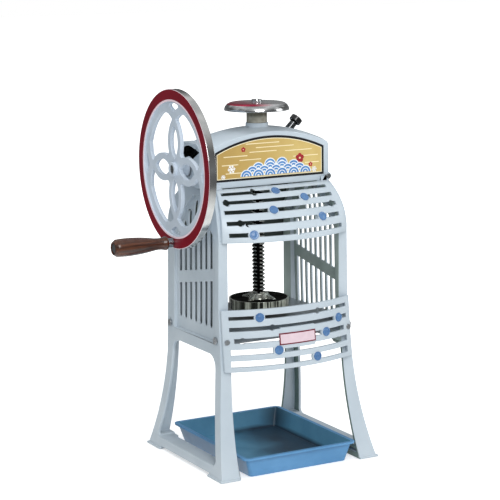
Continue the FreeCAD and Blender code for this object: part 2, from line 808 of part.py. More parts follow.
def crankshaft():
    hub_foot = -hub_rear
    body = joined(rod(shaft_radius, Vec(hub_foot, 0, shaft_z), RIGHT, -shaft_inner_end - hub_foot),
                  rod(shaft_tip_radius, Vec(-hub_nose + 1.5, 0, shaft_z), RIGHT, hub_nose - 1.5 + hub_foot + 1))
    body = body.cut(shaft_key_slot(-pinion_key_centre)).cut(shaft_key_slot(-wheel_key_centre))
    return solid_of(body)


washer_thickness = 1.5
boss_face = head_half_width + case_reach + shaft_boss_proud
hub_rear = boss_face + washer_thickness + 2 * end_float


def thrust_washer():
    return tube(hub_radius + 2, shaft_radius + 0.4, Vec(-boss_face - end_float - washer_thickness, 0, shaft_z),
                RIGHT, washer_thickness)


# ================================================================ crank wheel
def lens(x, centre, half_length, half_width, turn, depth):
    """Pointed oval prism on the spoke plane, its long axis on a radius at angle turn."""
    r = (half_length ** 2 + half_width ** 2) / (2 * half_width)
    offset = r - half_width
    one = rod(r, Vec(x, offset, shaft_z + centre), RIGHT, depth)
    other = rod(r, Vec(x, -offset, shaft_z + centre), RIGHT, depth)
    body = one.common(other)
    body.rotate(Vec(0, 0, shaft_z), RIGHT, turn)
    return body


def spoke_prism(x, start, steps, turn, depth):
    """Prism from a (sideways, radial) outline about the wheel's axis."""
    plane = lambda u, v: Vec(x, u, shaft_z + v)
    body = face(plane, start, steps).extrude(Vec(depth, 0, 0))
    body.rotate(Vec(0, 0, shaft_z), RIGHT, turn)
    return body


def flywheel():
    """Cast wheel: rim, inner ring, and four looped spokes whose ribs cross before the ring."""
    axis_start = Vec(-rim_front, 0, shaft_z)
    rim = tube(rim_radius, rim_inner, axis_start, RIGHT, rim_width)
    web_x = -rim_front + spoke_set_back
    web = rod(rim_inner + 1, Vec(web_x, 0, shaft_z), RIGHT, spoke_thickness)
    x = web_x - 1
    depth = spoke_thickness + 2
    gaps = rod(ring_inner, Vec(x, 0, shaft_z), RIGHT, depth)
    gaps = gaps.cut(rod(hub_radius + 5, Vec(x, 0, shaft_z), RIGHT, depth))
    eyes = []
    for i in range(4):
        turn = 90 * i
        edge = [fan_knee, fan_end, (fan_end[0], ring_inner + 6)]
        outline = [(-u, v) for u, v in edge] + edge[::-1]
        fan = spoke_prism(x, (0, fan_tip), outline, turn, depth)
        gaps = gaps.cut(lens(x, petal_centre, petal_half_length, petal_half_width, turn, depth)).cut(fan)
        eye = lens(x, eye_centre, eye_half_length, eye_half_width, turn, depth)
        eyes.append(eye.makeFillet(3, edges_along(eye, RIGHT, lambda p: True)))
        side_u, side_v = web_hole_side
        hole = spoke_prism(x, (0, web_hole_tip), [(-side_u, side_v), ((0, web_hole_top), (side_u, side_v))], turn, depth)
        eyes.append(hole.makeFillet(2.5, edges_along(hole, RIGHT, lambda p: True)))
    for radius, start, end in ((7, 0, 70), (3, 70, 100), (7, 100, ring_inner - 3), (3, ring_inner - 3, rim_inner)):
        corners = edges_along(gaps, RIGHT, lambda p: start < math.hypot(p.y, p.z - shaft_z) < end)
        gaps = gaps.makeFillet(radius, corners)
    web = web.cut(gaps).cut(group(eyes))
    hub = rod(hub_radius, Vec(-hub_nose, 0, shaft_z), RIGHT, hub_nose - hub_rear)
    body = joined(rim, web, hub)
    body = body.cut(rod(shaft_tip_radius + 0.02, Vec(-hub_nose - 1, 0, shaft_z), RIGHT, hub_nose))
    body = body.cut(shaft_key_slot(-wheel_key_centre))
    body = body.cut(rod(pin_radius - 1 + 0.02, crank_point(-rim_front), RIGHT, rim_width))
    return solid_of(body.removeSplitter())


def crank_point(x):
    """Point on the axis of the crank pin."""
    a = math.radians(crank_turn)
    return Vec(x, throw * math.sin(a), shaft_z - throw * math.cos(a))


def crank_pin():
    """Pin riveted in the rim, with a ferrule at its foot and a head in the end of the grip."""
    tip = grip_foot + grip_length
    pin = rod(pin_radius, crank_point(-tip + 2), RIGHT, tip - 2 - rim_front)
    ferrule = rod(ferrule_radius, crank_point(-rim_front - ferrule_length), RIGHT, ferrule_length)
    shank = rod(pin_radius - 1, crank_point(-rim_front), RIGHT, rim_width + 6)
    head = rod(pin_radius + 2.5, crank_point(-tip + 1), RIGHT, 2.5)
    return joined(pin, ferrule, shank, head)


grip_foot = rim_front + ferrule_length + end_float


def crank_pin_nut():
    start = crank_point(-rim_front + rim_width)
    return tube(8.5, pin_radius - 1 + 0.02, start, RIGHT, 5)


def hand_grip():
    """Turned wooden grip, free to spin on its pin."""
    length = grip_length
    centre = crank_point(0)
    profile = ((0, grip_collar_radius - 2), (4, grip_collar_radius), (9, grip_collar_radius - 1.2))
    profile += ((17, grip_neck_radius), (42, grip_end_radius - 3.2), (68, grip_end_radius - 0.6))
    profile += ((length - 22, grip_end_radius), (length - 6, grip_end_radius - 0.8))
    points = [Vec(-grip_foot - along, centre.y, centre.z + radius) for along, radius in profile]
    curve = Part.BSplineCurve()
    curve.interpolate(points)
    end = Vec(-grip_foot - length, centre.y, centre.z + grip_end_radius - 5)
    bore = pin_radius + running
    end_in = Vec(end.x, centre.y, centre.z + bore)
    foot_in = Vec(-grip_foot, centre.y, centre.z + bore)
    edges = [curve.toShape(), Part.makeLine(points[-1], end), Part.makeLine(end, end_in)]
    edges += [Part.makeLine(end_in, foot_in), Part.makeLine(foot_in, points[0])]
    body = Part.Face(Part.Wire(edges)).revolve(centre, RIGHT, 360)
    recess = rod(pin_radius + 3.5, crank_point(-grip_foot - length - 1), RIGHT, 6)
    return solid_of(body.cut(recess))


# ================================================================ sleeve and spindle
def keyway(radius, z0, z1, outwards):
    """Radial box at the key's angle, from inside radius to outside it."""
    body = block((radius - keyway_depth, radius + outwards), (-keyway_width / 2, keyway_width / 2), (z0, z1))
    body.rotate(Vec(0, 0, 0), UP, key_angle)
    return body


def drive_sleeve():
    """Tube that carries the bevel gear and turns the spindle through its key."""
    body = rod(sleeve_radius, Vec(0, 0, sleeve_foot), UP, sleeve_top - sleeve_foot)
    collar_z = head_z + floor_thickness + 2 + end_float
    body = body.fuse(rod(sleeve_collar_radius, Vec(0, 0, collar_z), UP, sleeve_collar_height))
    body = body.cut(rod(screw_radius + running, Vec(0, 0, sleeve_foot - 1), UP, sleeve_top))
    return solid_of(body.cut([sleeve_key(), sleeve_ring()]).removeSplitter())


key_foot = 580.0
key_top = 606.0


def sleeve_key():
    """Feather key fixed in the sleeve; it slides in the spindle's keyway."""
    inner = screw_radius - keyway_depth + 0.4
    body = block((inner, sleeve_radius - 1.5), (-keyway_width / 2 + 0.35, keyway_width / 2 - 0.35), (key_foot, key_top))
    body.rotate(Vec(0, 0, 0), UP, key_angle)
    return body


def sleeve_ring():
    """Retaining ring below the lower bush."""
    top = sleeve_foot + 2 - end_float
    return tube(sleeve_radius + 3, sleeve_radius - 1, Vec(0, 0, top - 1.5), UP, 1.5)


def feed_screw():
    body = rod(screw_radius, Vec(0, 0, screw_foot), UP, wheel_foot - screw_foot)
    body = body.fuse(rod(screw_radius - 4.5, Vec(0, 0, screw_foot), UP, screw_top - screw_foot))
    body = body.cut(rod(screw_radius + 1, Vec(0, 0, screw_foot - 1), UP, plate_rim_z - plate_web - screw_foot + 1)
                    .cut(rod(screw_radius - 4.5, Vec(0, 0, screw_foot - 1), UP, plate_rim_z - screw_foot)))
    return solid_of(body.cut(keyway(screw_radius, hub_top, wheel_foot - 22, 2)).removeSplitter())


hub_top = plate_rim_z + 9.0


def ice_plate():
    """Shallow inverted dish with a ribbed hub; it presses on the ice block."""
    rim_foot = plate_rim_z - plate_skirt
    web_foot = plate_rim_z - plate_web
    hub = screw_radius + 6
    start = (screw_radius + 0.02, web_foot)
    steps = [(plate_disc_radius - 4, web_foot), (plate_disc_radius - 4, rim_foot), (plate_disc_radius, rim_foot)]
    steps += [(plate_disc_radius, plate_rim_z), (plate_disc_radius - 3, plate_rim_z)]
    steps += [(plate_disc_radius - 5, plate_rim_z - 2), (hub + 2, plate_rim_z - 2), (hub, hub_top), (screw_radius + 0.02, hub_top)]
    body = face(xz(0), start, steps).revolve(Vec(0, 0, 0), UP, 360)
    ribs = []
    for i in range(hub_rib_count):
        rib = face(xz(-2.5), (hub - 2, plate_rim_z - 3), [(hub + 20, plate_rim_z - 3), (hub + 18, plate_rim_z), (hub - 2, hub_top - 1)])
        rib = rib.extrude(Vec(0, 5, 0))
        rib.rotate(Vec(0, 0, 0), UP, 30 + i * 360 / hub_rib_count)
        ribs.append(rib)
    return solid_of(body.fuse(ribs).removeSplitter())


def ice_spikes():
    """Pins set in the underside of the plate; their points bite into the ice."""
    spikes = []
    foot = plate_rim_z - plate_skirt
    web_foot = plate_rim_z - plate_web
    for i in range(spike_count):
        a = math.radians(15 + i * 360 / spike_count)
        start = Vec(spike_circle * math.cos(a), spike_circle * math.sin(a), foot)
        point = Part.makeCone(3, 0.6, spike_length, start, UP * -1)
        spikes.append(joined(rod(3, start, UP, web_foot - foot), point))
    return group(spikes)


def plate_nut():
    """Nut under the ice plate, on the reduced end of the screw."""
    top = plate_rim_z - plate_web
    return tube(13, screw_radius - 4.5 + 0.02, Vec(0, 0, top - 5), UP, 5)


def hand_wheel():
    """Pressed and polished wheel on top of the spindle."""
    r = wheel_radius
    w = wheel_wall
    flat = 46.0
    start = (screw_radius - 4.5 + 0.02, wheel_foot + 0.0)
    outer = ((r - 3.5, wheel_foot + 9.5), (flat, wheel_top))
    inner = ((r - 3.5 - w * 0.8, wheel_foot + 8), (r - w, wheel_foot))
    steps = [(18, wheel_foot), (18, wheel_top - w), (flat, wheel_top - w), inner, (r, wheel_foot), outer]
    steps += [(cap_nut_radius + 3, wheel_top), (cap_nut_radius + 2, wheel_top - w), (screw_radius - 4.5 + 0.02, wheel_top - w)]
    body = face(xz(0), start, steps).revolve(Vec(0, 0, 0), UP, 360)
    return solid_of(body)


def wheel_collar():
    """Steel collar that stops the wheel on the roof boss."""
    foot = roof_boss_top + end_float
    body = rod(collar_radius, Vec(0, 0, foot), UP, wheel_foot - foot)
    return solid_of(body.cut(rod(screw_radius + 0.02, Vec(0, 0, foot - 1), UP, wheel_foot)))


def cap_nut():
    foot = wheel_top - wheel_wall
    body = rod(cap_nut_radius, Vec(0, 0, foot), UP, 5)
    dome = Part.makeSphere(cap_nut_radius - 1, Vec(0, 0, foot + 5)).common(block((-20, 20), (-20, 20), (foot + 5, foot + 8.5)))
    body = joined(body, dome)
    return solid_of(body.cut(rod(screw_radius - 4.5 + 0.02, Vec(0, 0, foot - 1), UP, screw_top - foot + 1)))


# ================================================================ feed nut and its lock
def feed_nut():
    """Nut of the feed screw. Its notched flange is held by the lock plunger while ice is cut."""
    flange = rod(nut_flange_radius, Vec(0, 0, nut_flange_foot), UP, nut_flange_thickness)
    hub = rod(nut_hub_radius, Vec(0, 0, nut_flange_foot), UP, roof_boss_top - 1 - nut_flange_foot)
    body = joined(flange, hub)
    notches = []
    for i in range(nut_notches):
        notch = block((nut_flange_radius - notch_depth, nut_flange_radius + 2), (-notch_width / 2, notch_width / 2),
                      (nut_flange_foot - 1, nut_flange_top + 1))
        notch.rotate(Vec(0, 0, 0), UP, i * 360 / nut_notches)
        notches.append(notch)
    body = body.cut(notches)
    bore = screw_radius + thread_clearance
    return solid_of(body.cut(rod(bore, Vec(0, 0, 560), UP, 140)).removeSplitter())


def plunger_tip():
    """How far inside the roof the plunger's end stands, raised clear of the notches."""
    inner = nut_flange_radius - notch_depth + 0.6
    reach = inner + plunger_radius * math.cos(math.radians(lock_angle))
    return (lock_x - reach) / math.sin(math.radians(lock_angle)) - lock_travel


def lock_plunger():
    inside = plunger_tip()
    return rod(plunger_radius, lock_point(-inside), lock_axis, inside + knob_height + knob_length - 2)


def lock_knob():
    start = lock_point(knob_height)
    body = rod(knob_radius, start, lock_axis, knob_length)
    body = body.makeFillet(1.5, [e for e in body.Edges if isinstance(e.Curve, Part.Circle)])
    skirt = guide_height + lock_travel - knob_height + 0.5
    body = body.cut(rod(guide_radius_out + 0.4, start - lock_axis, lock_axis, 1 + skirt))
    return solid_of(body.cut(rod(plunger_radius + 0.02, start - lock_axis, lock_axis, knob_length - 1)))


# ================================================================ grilles and covers
def lerp(a, b, t):
    return a + (b - a) * t


def shoulder_edge(front, bulge, z):
    """Distance of a frame edge from the spindle plane at height z, above the shoulder."""
    start = (-front, shoulder_z)
    end = (-head_half_depth, head_z)
    mid = bulged(start, end, bulge)
    arc = Part.Arc(Vec(start[0], start[1], 0), Vec(mid[0], mid[1], 0), Vec(end[0], end[1], 0))
    circle = arc.toShape().Curve
    return -circle.Center.x + math.sqrt(circle.Radius ** 2 - (z - circle.Center.y) ** 2)


def front_edge(z):
    """Distance of the frame's front edge from the spindle plane at height z."""
    if z >= shoulder_z:
        return shoulder_edge(shoulder_front, front_shoulder_bulge, z)
    if z >= waist_z:
        return lerp(waist_front, shoulder_front, (z - waist_z) / (shoulder_z - waist_z))
    return lerp(knee_front, waist_front, (z - knee_z) / (waist_z - knee_z))


def rear_edge(z):
    if z >= shoulder_z:
        return shoulder_edge(shoulder_rear, rear_shoulder_bulge, z)
    return lerp(waist_rear, shoulder_rear, (z - waist_z) / (shoulder_z - waist_z))


def bowed_section(z, half, edge, bow, sign):
    """Bowed strip at height z: edge is where its inner side meets the frame."""
    near = edge + seat_gap
    far = near + grille_wall
    start = (-half, sign * near)
    inner = ((0, sign * (near + bow)), (half, sign * near))
    outer = ((0, sign * (far + bow)), (-half, sign * far))
    return loop(xy(z), start, [inner, (half, sign * far), outer])


def upper_half(z):
    """Half width of the upper grille at height z."""
    t = (z - shoulder_z) / (head_z - shoulder_z)
    return upper_half_width - upper_top_narrowing * max(t, 0) ** 2.2


def upper_bow_at(z):
    t = (z - upper_foot) / (head_z - upper_foot)
    return lerp(upper_bow, upper_top_bow, t)


def lower_surface(x, z):
    """Outer face of the lower grille: y at this x and z."""
    edge = front_edge(z) + seat_gap + grille_wall
    return -(edge + lower_bow * (1 - (x / lower_half_width) ** 2))


def upper_surface(x, z):
    edge = front_edge(z) + seat_gap + grille_wall
    return -(edge + upper_bow_at(z) * (1 - (x / upper_half(z)) ** 2))


def pierced(body, slots, pads, eyes, surface, kept, ears):
    """Cut the slots, leaving round pads and kept places across them; raise a stud on each pad."""
    cuts = []
    deep = 2 * grille_wall + 6
    for z, height, left, right in slots:
        cuts.append(block((left, right), (-190, -40), (z - height / 2, z + height / 2)))
    tool = cuts[0].fuse(cuts[1:])
    rows = [slot[0] for slot in slots]
    for x, z in zip(eyes, rows):
        tool = tool.fuse(rod(eye_radius, Vec(x, surface(x, z) - 6, z), BACK, deep + 4))
    studs = []
    for x, z in zip(pads, rows):
        y = surface(x, z)
        step = 1.0
        normal = Vec((surface(x + step, z) - surface(x - step, z)) / (2 * step), -1,
                     (surface(x, z + step) - surface(x, z - step)) / (2 * step)).normalize()
        base = Vec(x, y, z)
        tool = tool.cut(rod(pad_radius, base + normal * 8, normal * -1, deep + 6))
        studs.append(rod(stud_radius, base + normal * stud_height, normal * -1, stud_height + 2.5))
    for place in kept:
        tool = tool.cut(place)
    body = body.cut(tool)
    return body.fuse(studs + ears)


def upper_front_grille():
    levels = [upper_foot, shoulder_z + 17, shoulder_z + 40, shoulder_z + 62, shoulder_z + 80, head_z - 1]
    sections = [bowed_section(z, upper_half(z), front_edge(z), upper_bow_at(z), -1) for z in levels]
    body = Part.makeLoft(sections, True, False)
    ears = []
    ear_y = -head_half_depth - seat_gap
    for x in (-ear_x, ear_x):
        ears.append(rod(ear_radius, Vec(x, ear_y, ear_z), BACK * -1, grille_wall - 1))
        toe = min(ear_x - 1, upper_half(head_z - 6))
        ears.append(block((min(x, x / ear_x * (toe - 14)), max(x, x / ear_x * (toe - 14))),
                          (ear_y - grille_wall + 1, ear_y), (head_z - 6, ear_z)))
    frame_side = frame_outline(-200, -seat_gap).extrude(Vec(400, 0, 0))
    ears = [ear.cut(frame_side) for ear in ears]
    body = pierced(body, upper_slots, upper_pads, upper_eyes, upper_surface, [], ears)
    for x in (-ear_x, ear_x):
        body = body.cut(rod(grille_screw_radius + bolt_clearance, Vec(x, -80, ear_z), BACK, 40))
    body = body.cut(block((-200, 200), (-head_half_depth - seat_gap, 0), (head_z - 30, 600)))
    return solid_of(body.removeSplitter())


def rear_upper_cover():
    def section(z):
        return bowed_section(z, upper_half(z), rear_edge(z), rear_cover_bow, 1)

    levels = [shoulder_z, shoulder_z + 17, shoulder_z + 40, shoulder_z + 62, shoulder_z + 80, head_z - 1]
    body = Part.makeLoft([section(z) for z in levels], True, False)
    body = body.fuse(Part.makeLoft([section(rear_cover_foot), section(shoulder_z)], True, True))
    ear_y = head_half_depth + seat_gap
    ears = []
    for x in (-ear_x, ear_x):
        ears.append(rod(ear_radius, Vec(x, ear_y, ear_z), BACK, grille_wall - 1))
        ears.append(block((min(x, x * 0.87), max(x, x * 0.87)), (ear_y, ear_y + grille_wall - 1), (head_z - 6, ear_z)))
    frame_side = frame_outline(-200, -seat_gap).extrude(Vec(400, 0, 0))
    body = body.fuse([ear.cut(frame_side) for ear in ears])
    for x in (-ear_x, ear_x):
        body = body.cut(rod(grille_screw_radius + bolt_clearance, Vec(x, 30, ear_z), BACK, 60))
    body = body.cut(block((-200, 200), (0, head_half_depth + seat_gap), (head_z - 30, 600)))
    return solid_of(body.removeSplitter())


def lower_front_grille():
    sections = [bowed_section(z, lower_half_width, front_edge(z), lower_bow, -1) for z in (lower_foot, lower_top)]
    body = Part.makeLoft(sections, True, True)
    row_z = lower_slots[2][0]
    bar = block(name_bar, (-200, 0), (row_z - 20, row_z + 20))
    body = pierced(body, lower_slots, lower_pads, lower_eyes, lower_surface, [bar], [])
    for x in (-lower_screw_x, lower_screw_x):
        y = lower_surface(x, lower_screw_z) + spot_depth
        body = body.cut(rod(grille_screw_radius + bolt_clearance, Vec(x, y - 8, lower_screw_z), BACK, 30))
        body = body.cut(rod(screw_head_radius + 0.4, Vec(x, y - 12, lower_screw_z), BACK, 12))
    return solid_of(body.removeSplitter())


spot_depth = 0.8
screw_head_radius = 5.0


def screw(head_seat, direction, grip, radius=grille_screw_radius - 0.1):
    """Pan head screw: head_seat is under the head, direction points along the shank."""
    head = rod(screw_head_radius, head_seat - direction * 2.8, direction, 2.8)
    return joined(head, rod(radius, head_seat - direction * 0.5, direction, grip + 0.5))


def grille_screws():
    screws = []
    for x in (-ear_x, ear_x):
        seat = Vec(x, -head_half_depth - seat_gap - grille_wall + 1, ear_z)
        screws.append(screw(seat, BACK, grille_wall + end_wall - 1))
    for x in (-lower_screw_x, lower_screw_x):
        seat = lower_surface(x, lower_screw_z) + spot_depth
        tip = -table_bolt_front - table_bolt_radius - 1.5
        screws.append(screw(Vec(x, seat, lower_screw_z), BACK, tip - seat))
    return group(screws)


def rear_cover_screws():
    screws = []
    for x in (-ear_x, ear_x):
        seat = Vec(x, head_half_depth + seat_gap + grille_wall - 1, ear_z)
        screws.append(screw(seat, BACK * -1, grille_wall + end_wall - 1))
    return group(screws)


# ================================================================ blade table
def blade_direction():
    a = math.radians(blade_angle)
    return (math.cos(a), -math.sin(a)), (-math.sin(a), -math.cos(a))


def blade_table():
    """Cast table that the ice turns on, with a rim below it and a slot for the blade."""
    half = post_inner - seat_gap
    body = block((-half, half), (-table_front, table_rear), (table_top - table_rim, table_top))
    pocket = block((-half + table_wall, half - table_wall), (-table_front + table_wall, table_rear - table_wall),
                   (table_top - table_rim - 1, table_top - table_plate))
    body = body.cut(pocket)
    corners = []
    for x in ((-half, -half + table_corner), (half - table_corner, half)):
        for y in ((-table_front, -table_front + table_corner), (table_rear - table_corner - 4, table_rear)):
            corners.append(block(x, y, (table_top - table_rim, table_top)))
    body = body.fuse(corners)
    opening = block((blade_inner - 3, blade_outer + 3), (blade_edge_y - 8, blade_slot_end), (200, 300))
    body = body.cut(opening)
    for sign in (-1, 1):
        for y in (-table_bolt_front, table_bolt_rear):
            start = Vec(sign * (half + 1), y, table_bolt_z)
            body = body.cut(rod(table_bolt_radius, start, RIGHT * -sign, table_bolt_depth + 2))
    return solid_of(body.removeSplitter())


blade_slot_end = blade_edge_y + (table_plate + blade_proud) / math.tan(math.radians(blade_angle)) + 4
blade_edge_z = table_top + blade_proud


def blade_place(along, below):
    d, m = blade_direction()
    return (blade_edge_y + along * d[0] + below * m[0], blade_edge_z + along * d[1] + below * m[1])


def blade():
    t = blade_thickness
    bevel = t / math.tan(math.radians(blade_angle))
    start = blade_place(0, 0)
    steps = [blade_place(blade_length, 0), blade_place(blade_length, t), blade_place(bevel, t)]
    return face(yz(blade_inner), start, steps).extrude(Vec(blade_outer - blade_inner, 0, 0))


def blade_holder():
    t = blade_thickness
    high = blade_place(8, t)
    low = blade_place(blade_length, t)
    rear_y = guide_y + guide_radius + 6
    start = (high[0], holder_foot)
    steps = [high, low, (rear_y, low[1]), (rear_y, holder_foot)]
    body = face(yz(holder_inner), start, steps).extrude(Vec(holder_outer - holder_inner, 0, 0))
    for x in guide_places():
        ear = block((x - guide_radius - 3, x + guide_radius + 3), (guide_y - 9, rear_y + 1), (holder_foot + 10, table_top))
        body = body.cut(ear)
        body = body.cut(rod(guide_radius + running, Vec(x, guide_y, 200), UP, 100))
    plate_foot = table_top - table_plate - lift_room
    for end in ((holder_inner - 1, blade_inner - 2.5), (blade_outer + 2.5, holder_outer + 1)):
        body = body.cut(block(end, (high[0] - 1, rear_y + 1), (plate_foot, table_top)))
    return solid_of(body)


def guide_places():
    return (holder_inner + guide_radius + 1.5, holder_outer - guide_radius - 1.5)


def blade_guides():
    top = table_top - table_plate
    return group([rod(guide_radius, Vec(x, guide_y, holder_foot - 3), UP, top - holder_foot + 3) for x in guide_places()])


def adjuster_bridge():
    """Strap under the table that carries the blade adjusting screw."""
    top = table_top - table_plate
    foot = holder_foot - 14
    y0 = blade_edge_y - 14
    y1 = guide_y + 24
    strap = 6
    half = 9
    x = (adjuster_x - half, adjuster_x + half)
    body = block(x, (y0, y1), (foot, top)).cut(block((x[0] - 1, x[1] + 1), (y0 + strap, y1 - strap), (foot + strap, top + 1)))
    return solid_of(body.cut(rod(adjuster_radius + running, Vec(adjuster_x, guide_y - 8, foot - 1), UP, strap + 2)))


def adjuster_screw():
    foot = holder_foot - 14
    start = Vec(adjuster_x, guide_y - 8, foot - end_float - 10)
    shank = rod(adjuster_radius, start, UP, holder_foot - end_float - start.z)
    knob = rod(adjuster_knob_radius, start, UP, 10)
    grips = []
    for i in range(8):
        a = i * math.pi / 4
        place = start + Vec(math.cos(a), math.sin(a), 0) * (adjuster_knob_radius + 1.5) - UP
        grips.append(rod(3.5, place, UP, 12))
    return solid_of(joined(shank, knob).cut(grips))


def table_bolts():
    bolts = []
    for sign in (-1, 1):
        for y in (-table_bolt_front, table_bolt_rear):
            seat = post_inner + 8 + 15.7
            tip = post_inner - seat_gap - table_bolt_depth
            direction = RIGHT * sign
            shank = rod(table_bolt_radius - 0.1, direction * tip + Vec(0, y, table_bolt_z), direction, seat - tip)
            head = rod(7, direction * seat + Vec(0, y, table_bolt_z), direction, 4)
            bolts.append(joined(shank, head))
    return group(bolts)


# ================================================================ tray
def tray_section(z, grow):
    """Rounded rectangle of the tray at height z; the walls lean out with height."""
    flare = tray_flare * (1 - z / tray_height)
    half = tray_half_width - tray_lip - flare + grow
    front = tray_front - tray_lip - flare * 0.7 + grow
    rear = tray_rear - tray_lip - flare + grow
    r = 7 + grow
    k = r * (1 - math.sqrt(0.5))
    start = (-half + r, -front)
    steps = [(half - r, -front), ((half - k, -front + k), (half, -front + r)), (half, rear - r)]
    steps += [((half - k, rear - k), (half - r, rear)), (-half + r, rear), ((-half + k, rear - k), (-half, rear - r))]
    steps += [(-half, -front + r), ((-half + k, -front + k), (-half + r, -front))]
    return loop(xy(z), start, steps)


def drip_tray():
    """Moulded tray with sloping walls and a rim that turns out and down."""
    outer = Part.makeLoft([tray_section(0, 0), tray_section(tray_height - 1, 0)], True, True)
    rim_foot = tray_height - tray_lip_drop
    rim = rim_prism(tray_lip, rim_foot, tray_lip_drop)
    under = rim_prism(tray_lip - tray_lip_wall, rim_foot - 1, tray_lip_drop - tray_lip_wall + 1)
    inner = Part.makeLoft([tray_section(tray_wall, -tray_wall), tray_section(tray_height + 1, -tray_wall)], True, True)
    return solid_of(rim.cut(under).fuse(outer).cut(inner).removeSplitter())


def rim_prism(grow, foot, height):
    """Upright prism on the tray's top outline."""
    outline = tray_section(tray_height, grow)
    outline.translate(Vec(0, 0, foot - tray_height))
    return Part.Face(outline).extrude(Vec(0, 0, height))


# ================================================================ all pieces
def pieces():
    yield "side_frame_left", side_frame(-1, left_slot_count, left_slots)
    yield "side_frame_right", side_frame(1, right_slot_count, right_slots)
    yield "side_guard", side_guard()
    yield "head_casting", head_casting()
    yield "head_front_plate", head_plate(-1)
    yield "gear_case_cover", head_plate(1)
    yield "bearing_pedestal", bearing_pedestal()
    yield "shaft_bushes", shaft_bushes()
    yield "sleeve_bush", sleeve_bush()
    yield "nut_bush", nut_bush()
    yield "head_bolts", head_bolts()
    yield "plunger_guide", plunger_guide()
    yield "upper_front_grille", upper_front_grille()
    yield "lower_front_grille", lower_front_grille()
    yield "rear_upper_cover", rear_upper_cover()
    yield "grille_screws", grille_screws()
    yield "rear_cover_screws", rear_cover_screws()
    yield "blade_table", blade_table()
    yield "table_bolts", table_bolts()
    yield "blade_guides", blade_guides()
    yield "adjuster_bridge", adjuster_bridge()
    yield "flywheel", flywheel()
    yield "crankshaft", crankshaft()
    yield "shaft_keys", shaft_keys()
    yield "thrust_washer", thrust_washer()
    yield "pinion", pinion()
    yield "crank_pin", crank_pin()
    yield "crank_pin_nut", crank_pin_nut()
    yield "hand_grip", hand_grip()
    yield "crown_gear", crown_gear()
    yield "drive_sleeve", drive_sleeve()
    yield "sleeve_key", sleeve_key()
    yield "sleeve_ring", sleeve_ring()
    yield "feed_screw", feed_screw()
    yield "ice_plate", ice_plate()
    yield "ice_spikes", ice_spikes()
    yield "plate_nut", plate_nut()
    yield "hand_wheel", hand_wheel()
    yield "wheel_collar", wheel_collar()
    yield "cap_nut", cap_nut()
    yield "feed_nut", feed_nut()
    yield "lock_plunger", lock_plunger()
    yield "lock_knob", lock_knob()
    yield "blade", blade()
    yield "blade_holder", blade_holder()
    yield "adjuster_screw", adjuster_screw()
    yield "drip_tray", drip_tray()


os.makedirs("parts", exist_ok=True)
for name, shape in pieces():
    shape.exportStep("parts/" + name + ".step")
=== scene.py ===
import math

import bmesh
import bpy
from mathutils import Matrix, Vector


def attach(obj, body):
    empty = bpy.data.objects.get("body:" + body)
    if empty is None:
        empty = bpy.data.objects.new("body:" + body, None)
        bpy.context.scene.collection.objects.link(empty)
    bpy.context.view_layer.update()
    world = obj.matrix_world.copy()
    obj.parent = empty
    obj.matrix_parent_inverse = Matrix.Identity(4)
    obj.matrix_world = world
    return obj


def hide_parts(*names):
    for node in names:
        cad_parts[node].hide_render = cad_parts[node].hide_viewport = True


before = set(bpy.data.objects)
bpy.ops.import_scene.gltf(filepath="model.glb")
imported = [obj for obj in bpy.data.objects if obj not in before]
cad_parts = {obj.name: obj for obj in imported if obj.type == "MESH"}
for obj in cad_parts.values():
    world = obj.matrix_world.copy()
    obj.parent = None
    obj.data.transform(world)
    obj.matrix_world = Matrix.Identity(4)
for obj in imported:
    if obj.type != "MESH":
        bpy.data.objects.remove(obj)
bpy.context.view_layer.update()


# ---------------------------------------------------------------- studio
# A pale sweep under the machine, three large soft lamps and a bright surround, so that the enamel
# shows its own colour and the polished parts have something light and something grey to mirror.
mm = 0.001
eye = Vector((-1.6216, -2.9470, 1.0006))
aim = Vector((-0.01435, 0.00781, 0.40544))
roll = math.radians(-0.74)
sensor, lens = 36, 125.35
sight = 50                  # metres, how far the camera sees
white = (1, 1, 1, 1)


def placed(name, data):
    """New object in the scene, at the origin, unturned."""
    thing = bpy.data.objects.new(name, data)
    bpy.context.scene.collection.objects.link(thing)
    return thing


forward = (aim - eye).normalized()
right = forward.cross(Vector((0, 0, 1))).normalized()
up = right.cross(forward)
across = right * math.cos(roll) + up * math.sin(roll)
upright = up * math.cos(roll) - right * math.sin(roll)
camera_data = bpy.data.cameras.new("camera")
camera_data.sensor_width = sensor
camera_data.sensor_height = sensor
camera_data.sensor_fit = "AUTO"
camera_data.lens = lens
camera_data.clip_end = sight
camera = placed("camera", camera_data)
camera.matrix_world = Matrix((
    (across.x, upright.x, -forward.x, eye.x),
    (across.y, upright.y, -forward.y, eye.y),
    (across.z, upright.z, -forward.z, eye.z),
    (0, 0, 0, 1)))
bpy.context.scene.camera = camera
bpy.context.scene.view_settings.view_transform = "Standard"


def soft_lamp(name, place, size, power):
    """Square area lamp aimed at the middle of the machine."""
    machine_middle = Vector((0, 0, 0.35))
    data = bpy.data.lights.new(name, "AREA")
    data.shape = "SQUARE"
    data.size = size
    data.energy = power
    lamp = placed(name, data)
    lamp.location = place
    lamp.rotation_euler = (machine_middle - Vector(place)).to_track_quat("-Z", "Y").to_euler()
    return lamp


soft_lamp("key_lamp", (-0.9, -2.9, 2.2), 1.6, 54)
soft_lamp("side_lamp", (2.8, -1.6, 1.4), 1.4, 14)
soft_lamp("top_lamp", (0.2, 0.2, 3.0), 1.8, 20).visible_glossy = False


def put(tree, kind, sockets=None, **settings):
    """Add a node, set it up, and fill its inputs with numbers or with other nodes' outputs."""
    made = tree.nodes.new(kind)
    for name, value in settings.items():
        setattr(made, name, value)
    for name, value in (sockets or {}).items():
        if isinstance(value, bpy.types.NodeSocket):
            tree.links.new(value, made.inputs[name])
        else:
            made.inputs[name].default_value = value
    return made


